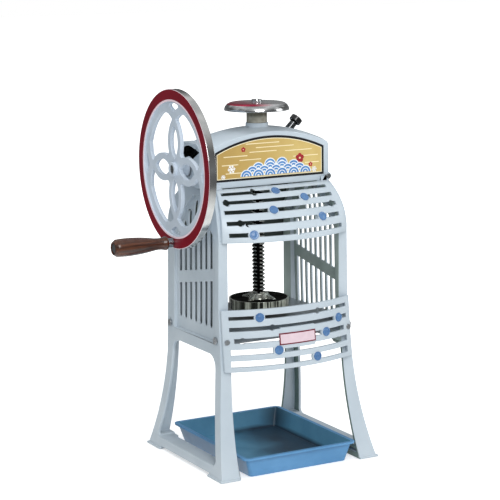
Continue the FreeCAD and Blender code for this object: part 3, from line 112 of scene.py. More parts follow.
def span(tree, value, start, end, low=0.0, darker_at_head=1.0):
    """Number that goes from low to high while the value goes from start to end, and stops there."""
    return put(tree, "ShaderNodeMapRange", {"Value": value, "From Min": start, "From Max": end,
                                            "To Min": low, "To Max": darker_at_head}).outputs[0]


def reckoned(tree, operation, *terms):
    """Result of one sum or comparison."""
    return put(tree, "ShaderNodeMath", dict(enumerate(terms)), operation=operation).outputs[0]


def blend(tree, share, first, second):
    """The first colour where the share is 0, the second where it is 1."""
    return put(tree, "ShaderNodeMixRGB", {"Fac": share, "Color1": first, "Color2": second}).outputs[0]


def clouds(tree, where, scale, detail, **more):
    """Soft random patches from 0 to 1."""
    return put(tree, "ShaderNodeTexNoise", {"Vector": where, "Scale": scale, "Detail": detail,
                                            **more}).outputs["Fac"]


def length_of(tree, vector):
    """How far a place is from the zero point."""
    return put(tree, "ShaderNodeVectorMath", {0: vector}, operation="LENGTH").outputs["Value"]


def backdrop_rays(tree):
    """The kinds of ray in the tree, and 1 for those that see the backdrop plain white."""
    kinds = put(tree, "ShaderNodeLightPath").outputs
    return kinds, reckoned(tree, "MAXIMUM", kinds["Is Camera Ray"], kinds["Is Transmission Ray"])


world = bpy.data.worlds.new("studio")
bpy.context.scene.world = world
world.use_nodes = True
tree = world.node_tree
tree.nodes.clear()
rays, plain = backdrop_rays(tree)
seen = put(tree, "ShaderNodeBackground", {"Color": white, "Strength": 1.0})
fill = put(tree, "ShaderNodeBackground", {"Color": (0.96, 1.0, 1, 1), "Strength": 0.52})
heading = put(tree, "ShaderNodeTexCoord").outputs["Generated"]
height = put(tree, "ShaderNodeSeparateXYZ", {"Vector": heading}).outputs["Z"]
sky = put(tree, "ShaderNodeValToRGB", {"Fac": height})
sky_greys = ((0.10, 0.16), (0.42, 0.09), (0.62, 0.32), (0.84, 0.62), (0.95, 0.35))
for position, grey in sky_greys:
    stop = sky.color_ramp.elements.new(position)
    stop.color = (grey, grey * 1.02, grey * 1.03, 1)
for stop in (sky.color_ramp.elements[0], sky.color_ramp.elements[-1]):
    stop.color = (0.24, 0.25, 0.26, 1)
panels = span(tree, clouds(tree, heading, 2.4, 1.0), 0.52, 0.58, 0.0, 0.5)
above = span(tree, height, 0.35, 0.5)
room = blend(tree, reckoned(tree, "MULTIPLY", panels, above), sky.outputs["Color"], white)
mirrored = put(tree, "ShaderNodeBackground", {"Color": room, "Strength": 1.0})
lit = put(tree, "ShaderNodeMixShader", {0: rays["Is Glossy Ray"], 1: fill.outputs[0],
                                        2: mirrored.outputs[0]})
shown = put(tree, "ShaderNodeMixShader", {0: plain, 1: lit.outputs[0], 2: seen.outputs[0]})
put(tree, "ShaderNodeOutputWorld", {"Surface": shown.outputs[0]})

# Seen in a polished face, the floor is bright round the machine and falls away to grey.
reach = 20
pool_near, pool_far = 0.4, 1.6
floor_z = -0.6 * mm
corners = [(x * reach, y * reach, floor_z) for x, y in ((-1, -1), (1, -1), (1, 1), (-1, 1))]
floor_mesh = bpy.data.meshes.new("floor")
floor_mesh.from_pydata(corners, [], [(0, 1, 2, 3)])
floor = placed("floor", floor_mesh)
floor_paint = bpy.data.materials.new("floor_paint")
floor_paint.use_nodes = True
tree = floor_paint.node_tree
tree.nodes.clear()
rays, plain = backdrop_rays(tree)
matt = put(tree, "ShaderNodeBsdfDiffuse", {"Color": (0.9, 0.9, 0.9, 1)})
away = length_of(tree, put(tree, "ShaderNodeTexCoord").outputs["Object"])
lift = reckoned(tree, "MULTIPLY", plain, span(tree, away, pool_near, pool_far, 0.50, 1.0))
glow = put(tree, "ShaderNodeEmission", {"Color": white, "Strength": lift})
both = put(tree, "ShaderNodeAddShader", {0: matt.outputs[0], 1: glow.outputs[0]})
pool = span(tree, away, pool_near, pool_far, 1.1, 0.13)
mirrored = put(tree, "ShaderNodeEmission", {"Color": (0.98, 1, 1, 1), "Strength": pool})
shown = put(tree, "ShaderNodeMixShader", {0: rays["Is Glossy Ray"], 1: both.outputs[0],
                                          2: mirrored.outputs[0]})
put(tree, "ShaderNodeOutputMaterial", {"Surface": shown.outputs[0]})
floor_mesh.materials.append(floor_paint)


# ---------------------------------------------------------------- side frames
# Two iron castings, each with a pair of splayed legs, a slotted side panel and a slanting band across
# the slots. They are enamelled pale blue-grey outside and primed grey-green inside, with soft corners;
# the inside faces are darkened by painted shade, the legs' insides most.
# A bare sheet behind the left one's slots keeps the shavings in; painted shade darkens it to the front.
leg_top = 232.0
sheet_shade_rear, sheet_shade_front = 20.0, -85.0
facing_in = 0.8                             # a face counts as the casting's inside from here up
same_point, same_plane = 0.002, math.radians(0.5)
crease = math.radians(34)


def tone(red, green, blue):
    """Colour given as it looks, 0 to 255, for a socket that wants linear light."""
    values = []
    for value in (red, green, blue):
        v = value / 255
        values.append(v / 12.92 if v <= 0.04045 else ((v + 0.055) / 1.055) ** 2.4)
    return (*values, 1)


def blank(name):
    """New material, with its tree and its shader."""
    made = bpy.data.materials.new(name)
    made.use_nodes = True
    return made, made.node_tree, made.node_tree.nodes["Principled BSDF"]


def on_body(tree):
    """Place of the shaded point in the machine's own frame."""
    return put(tree, "ShaderNodeTexCoord").outputs["Object"]


def split(tree, where):
    """X, Y and Z of a place."""
    return put(tree, "ShaderNodeSeparateXYZ", {"Vector": where}).outputs


def surface(name, light, dark, patch, grain, relief, gloss, **constants):
    """Node material: two colours that drift in patches, a fine relief and a wandering gloss.

    patch, grain and relief are in mm; gloss is the lowest and highest roughness. The constants are
    set on the shader's own sockets.
    """
    made, tree, shader = blank(name)
    where = on_body(tree)
    drift = clouds(tree, where, 1 / (patch * mm), 3.0)
    colour = blend(tree, span(tree, drift, 0.35, 0.65), light, dark)
    colour.node.name = "body_colour"
    fine = clouds(tree, where, 1 / (grain * mm), 2.0)
    bump = put(tree, "ShaderNodeBump", {"Height": fine, "Strength": 1.0, "Distance": relief * mm})
    tree.links.new(colour, shader.inputs["Base Color"])
    tree.links.new(span(tree, drift, 0.3, 0.7, *gloss), shader.inputs["Roughness"])
    tree.links.new(bump.outputs[0], shader.inputs["Normal"])
    for socket, value in constants.items():
        shader.inputs[socket.replace("_", " ")].default_value = value
    return made


def stain(material, share, colour):
    """Lay one more colour over a surface's own, by a share from 0 to 1."""
    tree = material.node_tree
    stained = blend(tree, share, tree.nodes["body_colour"].outputs[0], colour)
    tree.links.new(stained, tree.nodes["Principled BSDF"].inputs["Base Color"])


def solid_copy(node):
    """The node's triangles joined into one closed skin, flat faces merged."""
    shape = bmesh.new()
    shape.from_mesh(bpy.data.objects[node].data)
    bmesh.ops.remove_doubles(shape, verts=shape.verts, dist=same_point * mm)
    bmesh.ops.dissolve_limit(shape, angle_limit=same_plane, verts=shape.verts, edges=shape.edges)
    return shape


def bake_modifiers(piece):
    """Make the piece's mesh what its modifiers show, and take them off."""
    before = piece.data
    depsgraph = bpy.context.evaluated_depsgraph_get()
    piece_mesh = bpy.data.meshes.new_from_object(piece.evaluated_get(depsgraph))
    piece.modifiers.clear()
    piece.data = piece_mesh
    bpy.data.meshes.remove(before)
    piece_mesh.name = piece.name


def carry(piece, body, nodes):
    """Let a finished piece ride a body, in place of the nodes that it stands for."""
    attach(piece, body)
    if nodes:
        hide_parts(*nodes)


def stand_in(shape, name, body, nodes, materials, eased=0.0):
    """Turn a skin into a finished piece on its body, with its corners eased by so many mm."""
    mesh = bpy.data.meshes.new(name)
    shape.to_mesh(mesh)
    shape.free()
    for material in materials:
        mesh.materials.append(material)
    piece = placed(name, mesh)
    mesh.polygons.foreach_set("use_smooth", [True] * len(mesh.polygons))
    if eased:
        bevel = piece.modifiers.new("eased", "BEVEL")
        bevel.width = eased * mm
        bevel.segments = 2
        bevel.limit_method = "ANGLE"
        bevel.angle_limit = crease
        bevel.use_clamp_overlap = False
        weight = piece.modifiers.new("even", "WEIGHTED_NORMAL")
        weight.keep_sharp = True
        bake_modifiers(piece)
    else:
        mesh.set_sharp_from_angle(angle=crease)
    carry(piece, body, nodes)
    return piece


def dressed(node, body, material, eased=0.0):
    """Finished copy of one node in one material."""
    piece = stand_in(solid_copy(node), node + "_finished", body, [node], [material], eased)


enamel = surface("frame_enamel_paint", tone(200, 211, 220), tone(190, 202, 212), 90, 2.6, 0.035,
                 (0.30, 0.44), Specular_IOR_Level=0.5, Coat_Weight=0.12, Coat_Roughness=0.18)
# painted shade: the inside faces take a darker grey-green, the legs' insides a darker one still
primer_with_shade = surface("inner_primer", tone(176, 192, 188), tone(158, 174, 170), 60, 1.8, 0.05,
                 (0.50, 0.66))
shaded_leg_primer = surface("leg_primer", tone(118, 138, 132), tone(96, 116, 110), 50, 1.8, 0.05,
                      (0.50, 0.66))
for side, inward in (("side_frame_left", 1), ("side_frame_right", -1)):
    casting = solid_copy(side)
    for face in casting.faces:
        if face.normal.x * inward > facing_in:
            face.material_index = 2 if face.calc_center_median().z < leg_top * mm else 1
    casting = stand_in(casting, side + "_finished", "frame", [side], [enamel, primer_with_shade, shaded_leg_primer], 1.3)
sheet_metal = surface("bare_sheet", tone(150, 160, 166), tone(128, 138, 144), 50, 1.2, 0.02,
                      (0.42, 0.58), Metallic=0.3)
tree = sheet_metal.node_tree
# painted shade on the sheet, deepening towards the front post
sheet_shade = span(tree, split(tree, on_body(tree))["Y"], sheet_shade_rear * mm, sheet_shade_front * mm, 0.0, 0.9)
stain(sheet_metal, sheet_shade, tone(44, 50, 56))
dressed("side_guard", "frame", sheet_metal)


# ---------------------------------------------------------------- head
# The domed head casting carries the shaft and spindle bearings; a pressed cover closes its left end,
# and the same pale enamel goes over both. Bolts from inside hold it on the side frames.
dressed("head_casting", "frame", enamel, 1.2)
dressed("gear_case_cover", "frame", enamel, 0.6)
dressed("bearing_pedestal", "frame", enamel)
bronze = surface("bearing_bronze_turned", tone(176, 134, 84), tone(150, 110, 66), 12, 0.8, 0.01,
                 (0.28, 0.42), Metallic=1.0)
for bush in ("shaft_bushes", "sleeve_bush", "nut_bush"):
    dressed(bush, "frame", bronze)
zinc = surface("zinc_plating", tone(186, 190, 194), tone(160, 164, 168), 8, 0.7, 0.012, (0.26, 0.40),
               Metallic=1.0)
dressed("head_bolts", "frame", zinc)
dark_chrome = surface("dull_chrome", tone(132, 134, 136), tone(104, 106, 108), 12, 0.8, 0.01,
                      (0.06, 0.14), Metallic=1.0)
dressed("plunger_guide", "frame", dark_chrome)


# ---------------------------------------------------------------- front plate
# Thin arched plate let into the front of the head, printed on gold: a black rim line, a cream line
# inside it, and a plain traditional pattern of waves, mist bars, snow stars and a few blossoms.
plate_half = 119.5
plate_foot = 553.0
plate_crown = 635.0
plate_bend = 280.0
plate_face = -51.0
black_line = 4.2            # from the plate's edge to the end of each line
cream_line = 5.6
fade_half = 90.0            # the gold grows lighter from left to right within this
film = 0.10                 # how far the ink stands off the plate
film_root = 0.05            # and how far it reaches into it
row_step, ring_step, arm_step = 0.10, 0.09, 0.01    # what lies over other ink stands off more


def coat(tree, shader, gloss_by, gloss, relief_by, depth, strength=1.0):
    """Roughness from one pattern, between two limits, and a relief of so many mm from another."""
    tree.links.new(span(tree, gloss_by, 0.0, 1.0, *gloss), shader.inputs["Roughness"])
    bump = put(tree, "ShaderNodeBump", {"Height": relief_by, "Strength": strength,
                                        "Distance": depth * mm})
    tree.links.new(bump.outputs[0], shader.inputs["Normal"])


gold_print, tree, shader = blank("gold_print")
where = on_body(tree)
place = split(tree, where)
wide = reckoned(tree, "ABSOLUTE", place["X"])
from_side = reckoned(tree, "SUBTRACT", plate_half * mm, wide)
from_foot = reckoned(tree, "SUBTRACT", place["Z"], plate_foot * mm)
bend_centre = put(tree, "ShaderNodeMapping", {"Vector": where, "Scale": (1, 0, 1),
                                              "Location": (0, 0, -(plate_crown - plate_bend) * mm)})
from_crown = reckoned(tree, "SUBTRACT", plate_bend * mm, length_of(tree, bend_centre.outputs[0]))
near = reckoned(tree, "MINIMUM", from_side, from_foot)
near = reckoned(tree, "MINIMUM", near, from_crown)
sweep = span(tree, place["X"], -fade_half * mm, fade_half * mm)
leaf = blend(tree, sweep, tone(184, 150, 82), tone(232, 208, 136))
gold = blend(tree, clouds(tree, where, 30.0, 3.0), leaf, tone(200, 166, 92))
lined = blend(tree, reckoned(tree, "LESS_THAN", near, cream_line * mm), gold, tone(250, 240, 205))
edged = blend(tree, reckoned(tree, "LESS_THAN", near, black_line * mm), lined, tone(28, 26, 30))
tree.links.new(edged, shader.inputs["Base Color"])
fleck = clouds(tree, where, 900.0, 2.0)
coat(tree, shader, fleck, (0.30, 0.46), fleck, 0.006)
shader.inputs["Coat Weight"].default_value = 0.25
shader.inputs["Coat Roughness"].default_value = 0.15
dressed("head_front_plate", "frame", gold_print)

ink_tones = {
    "cream": ((252, 240, 200), (246, 230, 186)),
    "blue": ((92, 152, 212), (78, 136, 200)),
    "white": ((250, 250, 250), (238, 242, 246)),
    "crimson": ((186, 44, 52), (166, 34, 44)),
}
ink = {name: surface(name + "_ink", tone(*light), tone(*dark), 20, 0.6, 0.006, (0.32, 0.42))
       for name, (light, dark) in ink_tones.items()}
ink_names = list(ink)


def lay_ink(shape, outline, colour, rise):
    """Close a flat figure, (x, z) points in mm, into a film that stands so many mm off the plate."""
    front = plate_face - rise
    back = plate_face + film_root
    near = [shape.verts.new((x * mm, front * mm, z * mm)) for x, z in outline]
    far = [shape.verts.new((x * mm, back * mm, z * mm)) for x, z in outline]
    faces = [shape.faces.new(near), shape.faces.new(far[::-1])]
    for i in range(len(outline)):
        j = (i + 1) % len(outline)
        faces.append(shape.faces.new((near[i], far[i], far[j], near[j])))
    for face in faces:
        face.material_index = ink_names.index(colour)


def arc(x, z, radius, angles):
    """Points round (x, z) at these angles."""
    return [(x + radius * math.cos(a), z + radius * math.sin(a)) for a in angles]


def full_turn(count):
    """Angles evenly spaced round a circle."""
    return [k * math.tau / count for k in range(count)]


art = bmesh.new()
wave = 13.0                 # radius of one wave scallop
sea = 560.2                 # foot of the lowest row
row_rise = 0.5              # of a scallop's radius, from row to row
half_turn = [math.pi * i / 20 for i in range(21)]
wave_rows = ((-52.0, 6), (-39.0, 5), (-26.0, 4), (0.0, 2))      # first scallop, and how many
wave_rings = ((1.0, "white"), (0.86, "blue"), (0.58, "white"), (0.46, "blue"), (0.2, "white"))
for row, (first, count) in enumerate(wave_rows):
    under = row_step * (len(wave_rows) - 1 - row)
    for i in range(count):
        x = first + i * wave * 2
        z = sea + row * wave * row_rise
        for ring, colour in wave_rings:
            rise = film + under + ring_step * (1 - ring)
            lay_ink(art, arc(x, z, wave * ring, half_turn), colour, rise)

bar_half = 0.8
bar_film = 0.08
mist_bars = ((-52, 20, 622), (-30, 52, 614), (34, 92, 604), (-100, -50, 600), (52, 106, 592),
             (-44, 14, 606), (-104, -70, 584), (-96, -62, 568), (78, 108, 578), (-66, -20, 592))
for x0, x1, z in mist_bars:
    bar = arc(x1, z, bar_half, [i * math.pi / 6 - math.pi / 2 for i in range(7)])
    bar += arc(x0, z, bar_half, [i * math.pi / 6 + math.pi / 2 for i in range(7)])
    lay_ink(art, bar, "cream", bar_film)

# One arm of a snow star, and the petals and heart of a blossom, for a size of 1.
star_arm = ((0, -0.11), (0.52, -0.11), (0.66, -0.36), (0.80, -0.30), (0.74, -0.11), (1.0, -0.08),
            (1.0, 0.08), (0.74, 0.11), (0.80, 0.30), (0.66, 0.36), (0.52, 0.11), (0, 0.11))
star_tilt, petal_tilt = 0.1, 0.3
petal_out, petal_size, heart_size = 0.55, 0.45, 0.2
for x, z, size in ((-84, 576, 8.5), (98, 564, 6.0), (-102, 562, 5.0)):
    for arm in range(6):
        a = arm * math.pi / 3 + star_tilt
        c, s = math.cos(a), math.sin(a)
        lay_ink(art, [(x + size * (u * c - v * s), z + size * (u * s + v * c)) for u, v in star_arm],
                "white", film + arm_step * arm)

for x, z, size in ((66, 588, 9.5), (-58, 612, 5.0), (90, 574, 4.6)):
    for petal, a in enumerate(full_turn(5)):
        (petal_x, petal_z), = arc(x, z, size * petal_out, [a + petal_tilt])
        rise = film + arm_step * petal
        lay_ink(art, arc(petal_x, petal_z, size * petal_size, full_turn(14)), "crimson", rise)
    lay_ink(art, arc(x, z, size * heart_size, full_turn(10)), "cream", 2 * film)
bmesh.ops.recalc_face_normals(art, faces=art.faces)
pattern = stand_in(art, "plate_pattern", "frame", [], [ink[name] for name in ink_names])


# ---------------------------------------------------------------- gears and crank shaft
# A steel shaft runs in bronze bushes and turns a cast bevel pinion, which drives the crown gear on
# the sleeve around the spindle. Cast teeth, dark with grease; keys and washers are bright steel.
gear_iron = surface("gear_iron_cast", tone(92, 94, 94), tone(66, 68, 68), 14, 1.2, 0.05, (0.38, 0.55),
                    Metallic=0.85)
turned = surface("turned_steel", tone(178, 180, 182), tone(150, 152, 155), 16, 0.6, 0.008, (0.20, 0.32),
                 Metallic=1.0)
for steel_piece in ("crankshaft", "shaft_keys", "thrust_washer"):
    dressed(steel_piece, "crank", turned)
dressed("pinion", "crank", gear_iron)
dressed("crown_gear", "gear_sleeve", gear_iron)
for steel_piece in ("drive_sleeve", "sleeve_key", "sleeve_ring"):
    dressed(steel_piece, "gear_sleeve", turned)
dressed("feed_nut", "nut", gear_iron, 0.4)


# ---------------------------------------------------------------- crank wheel
# Cast wheel keyed on the shaft: looped spokes and inner ring in pale enamel, the front of the rim
# painted crimson with a thin pale line at its inner edge and a painted highlight at its outer edge,
# and the rim's outside turned and polished.
shaft_z = 578.0
band_foot = 128.7           # radius where the enamel ends and the inner pale line begins
band_inner = 132.3          # the crimson lies between these two radii
band_outer = 150.9
rim_front_x = -182.0
rim_inner = 120.0
rim_outer = 151.0
square_on = 0.9             # a face looks along an axis from here up
edge_on = 0.5               # and stands beside it below this
band, tree, shader = blank("crimson_band")
where = on_body(tree)
centred = put(tree, "ShaderNodeMapping", {"Vector": where, "Location": (0, 0, -shaft_z * mm),
                                          "Scale": (0, 1, 1)})
radius = length_of(tree, centred.outputs[0])
red = blend(tree, clouds(tree, where, 18.0, 3.0), tone(144, 2, 34), tone(108, 0, 24))
# pale inside band_inner: a paint line; pale past band_outer: a painted highlight on the edge
pale_line_and_highlight = reckoned(tree, "MAXIMUM", reckoned(tree, "LESS_THAN", radius, band_inner * mm),
                 reckoned(tree, "GREATER_THAN", radius, band_outer * mm))
lined = blend(tree, pale_line_and_highlight, red, tone(252, 226, 236))
ground = reckoned(tree, "LESS_THAN", radius, band_foot * mm)
tree.links.new(blend(tree, ground, lined, tone(206, 217, 228)), shader.inputs["Base Color"])
fleck = clouds(tree, where, 380.0, 2.0)
coat(tree, shader, fleck, (0.24, 0.38), fleck, 0.03)
shader.inputs["Specular IOR Level"].default_value = 0.28

polished = surface("polished_rim", tone(228, 228, 226), tone(208, 209, 208), 30, 0.8, 0.006,
                   (0.13, 0.22), Metallic=1.0)
wheel_paint = surface("wheel_enamel_paint", tone(212, 223, 236), tone(200, 212, 226), 70, 2.4, 0.03,
                      (0.28, 0.40), Specular_IOR_Level=0.5, Coat_Weight=0.15, Coat_Roughness=0.15)
wheel = solid_copy("flywheel")
for face in wheel.faces:
    nearest = min(math.hypot(v.co.y, v.co.z - shaft_z * mm) for v in face.verts) / mm
    in_front = face.normal.x < -square_on and face.calc_center_median().x < rim_front_x * mm
    if in_front and nearest > rim_inner:
        face.material_index = 1
    elif abs(face.normal.x) < edge_on and nearest > rim_outer:
        face.material_index = 2
wheel = stand_in(wheel, "crank_wheel", "crank", ["flywheel"], [wheel_paint, band, polished], 0.9)


# ---------------------------------------------------------------- crank handle
# A pin riveted through the rim with a ferrule at its foot, and a turned hardwood grip free to spin
# on it, stained dark and lacquered; the grain runs along the grip.
pin_y, pin_z = 7.4, 436.2
grain_scale, pore_scale = (9, 130, 130), (60, 900, 900)     # both long in the grip's direction
dressed("crank_pin", "crank", turned, 0.5)
dressed("crank_pin_nut", "crank", zinc)
wood, tree, shader = blank("lacquered_hardwood")
where = on_body(tree)
along = put(tree, "ShaderNodeMapping", {"Vector": where, "Location": (0, -pin_y * mm, -pin_z * mm),
                                        "Scale": grain_scale})
growth = clouds(tree, along.outputs[0], 1.0, 4.0, Distortion=0.6)
pores = put(tree, "ShaderNodeMapping", {"Vector": where, "Scale": pore_scale})
pore = clouds(tree, pores.outputs[0], 1.0, 2.0)
bands = put(tree, "ShaderNodeValToRGB", {"Fac": growth})
bands.color_ramp.elements[0].position = 0.34
bands.color_ramp.elements[0].color = tone(46, 22, 11)
bands.color_ramp.elements[1].position = 0.66
bands.color_ramp.elements[1].color = tone(104, 56, 28)
bands.color_ramp.elements.new(0.5).color = tone(74, 37, 18)
pored = blend(tree, span(tree, pore, 0.62, 0.72), bands.outputs["Color"], tone(30, 14, 8))
tree.links.new(pored, shader.inputs["Base Color"])
coat(tree, shader, growth, (0.26, 0.42), pore, 0.05, 0.6)
shader.inputs["Coat Weight"].default_value = 0.6
shader.inputs["Coat Roughness"].default_value = 0.10
dressed("hand_grip", "grip", wood, 0.5)


# ---------------------------------------------------------------- lock
# Steel plunger in a chromed guide on the roof, with a moulded black knob: pushed down, it stops the
# feed nut from turning.
dressed("lock_plunger", "lock", turned, 0.4)
black_gloss = surface("black_moulding", tone(24, 24, 26), tone(16, 16, 18), 14, 1.5, 0.01, (0.16, 0.26),
                      Coat_Weight=0.4, Coat_Roughness=0.08)
dressed("lock_knob", "lock", black_gloss, 0.4)


# ---------------------------------------------------------------- feed screw
# Steel spindle with a coarse thread, and a keyway cut down the whole length of the thread. It is
# black with oil, and the crests are painted bright: worn by the nut, and a painted highlight too.
pitch = 7.5
thread_foot = 320.0
thread_length = 340.0
core_radius = 8.8           # under the thread
plain_radius = 12.4         # below and above it
end_radius = 8.0            # where the plate's nut and the hand wheel sit
spindle_foot, plate_seat = 300.0, 306.0
wheel_seat, spindle_top = 681.0, 694.0
end_chamfer = 0.6
ease_below, ease_above = 2.0, 1.0   # round each end of the thread, where the width changes
crest_bright_from, crest_bright_to = 11.2, 12.2


def turned_shape(profile, steps):
    """Skin turned about the Z axis from (radius, height) points in mm, closed where the radius is 0."""
    shape = bmesh.new()
    rings = []
    for radius, height in profile:
        angles = [math.tau * i / steps for i in range(steps if radius else 1)]
        rings.append([shape.verts.new((radius * mm * math.cos(a), radius * mm * math.sin(a),
                                       height * mm)) for a in angles])
    for low, darker_at_head in zip(rings, rings[1:]):
        for i in range(steps):
            j = (i + 1) % steps
            corners = (low[i % len(low)], low[j % len(low)], darker_at_head[j % len(darker_at_head)], darker_at_head[i % len(darker_at_head)])
            shape.faces.new(list(dict.fromkeys(corners)))
    bmesh.ops.recalc_face_normals(shape, faces=shape.faces)
    return shape


def node_tool(name, numbers):
    """Geometry Nodes group that takes a mesh and named numbers, its inputs and their identifiers."""
    tool = bpy.data.node_groups.new(name, "GeometryNodeTree")
    tool.interface.new_socket("Geometry", in_out="INPUT", socket_type="NodeSocketGeometry")
    keys = {}
    for label in numbers:
        socket = tool.interface.new_socket(label, in_out="INPUT", socket_type="NodeSocketFloat")
        keys[label] = socket.identifier
    tool.interface.new_socket("Geometry", in_out="OUTPUT", socket_type="NodeSocketGeometry")
    return tool, put(tool, "NodeGroupInput").outputs, keys


def moved(tool, geometry, **change):
    """The geometry after a Translation or a Rotation."""
    return put(tool, "GeometryNodeTransform", {"Geometry": geometry, **change}).outputs[0]


def close_tool(tool, geometry, material):
    """End a node group: real geometry in one material."""
    real = put(tool, "GeometryNodeRealizeInstances", {"Geometry": geometry})
    painted = put(tool, "GeometryNodeSetMaterial", {"Geometry": real.outputs[0], "Material": material})
    put(tool, "NodeGroupOutput", {"Geometry": painted.outputs[0]})


def grown(shape, name, body, nodes, tool, keys, numbers):
    """Run a node group on a skin and keep what it makes as a plain mesh that rides the body."""
    base = bpy.data.meshes.new(name)
    shape.to_mesh(base)
    shape.free()
    piece = placed(name, base)
    run = piece.modifiers.new("grow", "NODES")
    run.node_group = tool
    for label, value in numbers.items():
        run[keys[label]] = float(value)
    bake_modifiers(piece)
    piece.data.polygons.foreach_set("use_smooth", [True] * len(piece.data.polygons))
    piece.data.set_sharp_from_angle(angle=crease)
    carry(piece, body, nodes)
    return piece


oiled_steel = surface("oiled_thread", tone(20, 19, 18), tone(12, 12, 11), 9, 0.8, 0.03, (0.16, 0.28),
                      Metallic=0.9)
tree = oiled_steel.node_tree
flat = put(tree, "ShaderNodeVectorMath", {0: on_body(tree), 1: (1, 1, 0)}, operation="MULTIPLY")
# crests painted bright, for wear and as a painted highlight
crest_wear_and_highlight = span(tree, length_of(tree, flat.outputs[0]), crest_bright_from * mm, crest_bright_to * mm)
stain(oiled_steel, crest_wear_and_highlight, tone(236, 235, 228))

thread_sizes = {
    "Turns": thread_length / pitch, "Radius": 10.55 * mm, "Length": thread_length * mm,
    "Foot": thread_foot * mm, "Depth": 3.9 * mm, "Root width": 6.6 * mm, "Crest width": 2.4 * mm,
    "Key width": 6 * mm, "Key floor": 9.0 * mm, "Key heading": math.radians(240)}
cutter_depth = 0.02
tool, given, keys = node_tool("cut_thread", thread_sizes)
helix = put(tool, "GeometryNodeCurveSpiral", {"Resolution": 30, "Rotations": given["Turns"],
                                              "Start Radius": given["Radius"],
                                              "End Radius": given["Radius"], "Height": given["Length"]})
level = put(tool, "GeometryNodeSetCurveNormal", {"Curve": helix.outputs[0]}, mode="Z_UP")
tooth = put(tool, "GeometryNodeCurvePrimitiveQuadrilateral",
            {"Height": given["Depth"], "Bottom Width": given["Root width"],
             "Top Width": given["Crest width"], "Offset": 0.0}, mode="TRAPEZOID")
tooth = moved(tool, tooth.outputs[0], Rotation=(0, 0, math.pi / 2))
ridge = put(tool, "GeometryNodeCurveToMesh", {"Curve": level.outputs[0], "Profile Curve": tooth,
                                              "Fill Caps": True})
foot = put(tool, "ShaderNodeCombineXYZ", {"Z": given["Foot"]})
ridge = moved(tool, ridge.outputs[0], Translation=foot.outputs[0])
whole = put(tool, "GeometryNodeMeshBoolean", {"Mesh 2": ridge}, operation="UNION")
tool.links.new(given["Geometry"], whole.inputs["Mesh 2"])
size = put(tool, "ShaderNodeCombineXYZ", {"X": cutter_depth, "Y": given["Key width"],
                                          "Z": given["Length"]})
cutter = put(tool, "GeometryNodeMeshCube", {"Size": size.outputs[0]}).outputs[0]
cutter_x = reckoned(tool, "ADD", given["Key floor"], cutter_depth / 2)
cutter_z = reckoned(tool, "MULTIPLY_ADD", given["Length"], 0.5, given["Foot"])
place = put(tool, "ShaderNodeCombineXYZ", {"X": cutter_x, "Z": cutter_z})
cutter = moved(tool, cutter, Translation=place.outputs[0])
turn = put(tool, "ShaderNodeCombineXYZ", {"Z": given["Key heading"]})
cutter = moved(tool, cutter, Rotation=turn.outputs[0])
keyed = put(tool, "GeometryNodeMeshBoolean", {"Mesh 1": whole.outputs[0], "Mesh 2": cutter},
            operation="DIFFERENCE")
close_tool(tool, keyed.outputs[0], oiled_steel)
thread_top = thread_foot + thread_length
core = turned_shape((
    (0, spindle_foot), (end_radius, spindle_foot), (end_radius, plate_seat),
    (plain_radius, plate_seat), (plain_radius, thread_foot - ease_below),
    (core_radius, thread_foot + ease_above), (core_radius, thread_top - ease_below),
    (plain_radius, thread_top + ease_above), (plain_radius, wheel_seat), (end_radius, wheel_seat),
    (end_radius, spindle_top - end_chamfer), (end_radius - end_chamfer, spindle_top),
    (0, spindle_top)), 40)
spindle = grown(core, "feed_spindle", "spindle", ["feed_screw"], tool, keys, thread_sizes)


# ---------------------------------------------------------------- ice plate
# Iron casting keyed under the spindle: a shallow dish, blacked inside, with a ribbed hub worn bright
# and a turned wall striped dark and light round about, as painted reflections. Six steel points below
# bite into the ice, and a nut holds it.
dish_floor = 310.5          # hub and ribs rise above this
dish_rim = 311.0            # and the rim's flat top above this
dish_edge = 50.0            # radius inside which all that rises is hub or rib
dish_wall = 57.0            # radius outside which what stands upright is the wall
wall_lean = 0.4             # and how far it may lean
black_dish = surface("blacked_iron", tone(34, 34, 32), tone(20, 20, 19), 22, 1.4, 0.03, (0.40, 0.52),
                     Specular_IOR_Level=0.0)
hub_iron = surface("worn_iron", tone(246, 248, 240), tone(150, 152, 142), 9, 0.9, 0.02, (0.08, 0.20),
                   Metallic=0.75)
wall_iron = surface("turned_iron", tone(214, 218, 204), tone(170, 174, 160), 12, 0.9, 0.012,
                    (0.06, 0.14), Metallic=0.2)
tree = wall_iron.node_tree
flat = put(tree, "ShaderNodeVectorMath", {0: on_body(tree), 1: (1, 1, 0)}, operation="MULTIPLY")
heading = put(tree, "ShaderNodeVectorMath", {0: flat.outputs[0]}, operation="NORMALIZE")
# painted reflections: dark streaks round the wall, by heading
reflection_streaks = clouds(tree, heading.outputs[0], 7.0, 4.0, Roughness=0.7)
stain(wall_iron, span(tree, reflection_streaks, 0.56, 0.46), tone(34, 36, 30))
dish = solid_copy("ice_plate")
for face in dish.faces:
    spot = face.calc_center_median() / mm
    nearest = min(math.hypot(v.co.x, v.co.y) for v in face.verts) / mm
    wall = abs(face.normal.z) < wall_lean and nearest > dish_wall
    rim = face.normal.z > square_on and spot.z > dish_rim and nearest > dish_edge
    raised = math.hypot(spot.x, spot.y) < dish_edge and spot.z > dish_floor
    face.material_index = 2 if raised else int(wall or rim)
dish = stand_in(dish, "ice_plate_finished", "spindle", ["ice_plate"],
                [black_dish, wall_iron, hub_iron], 0.8)
dressed("ice_spikes", "spindle", turned)
dressed("plate_nut", "spindle", zinc)
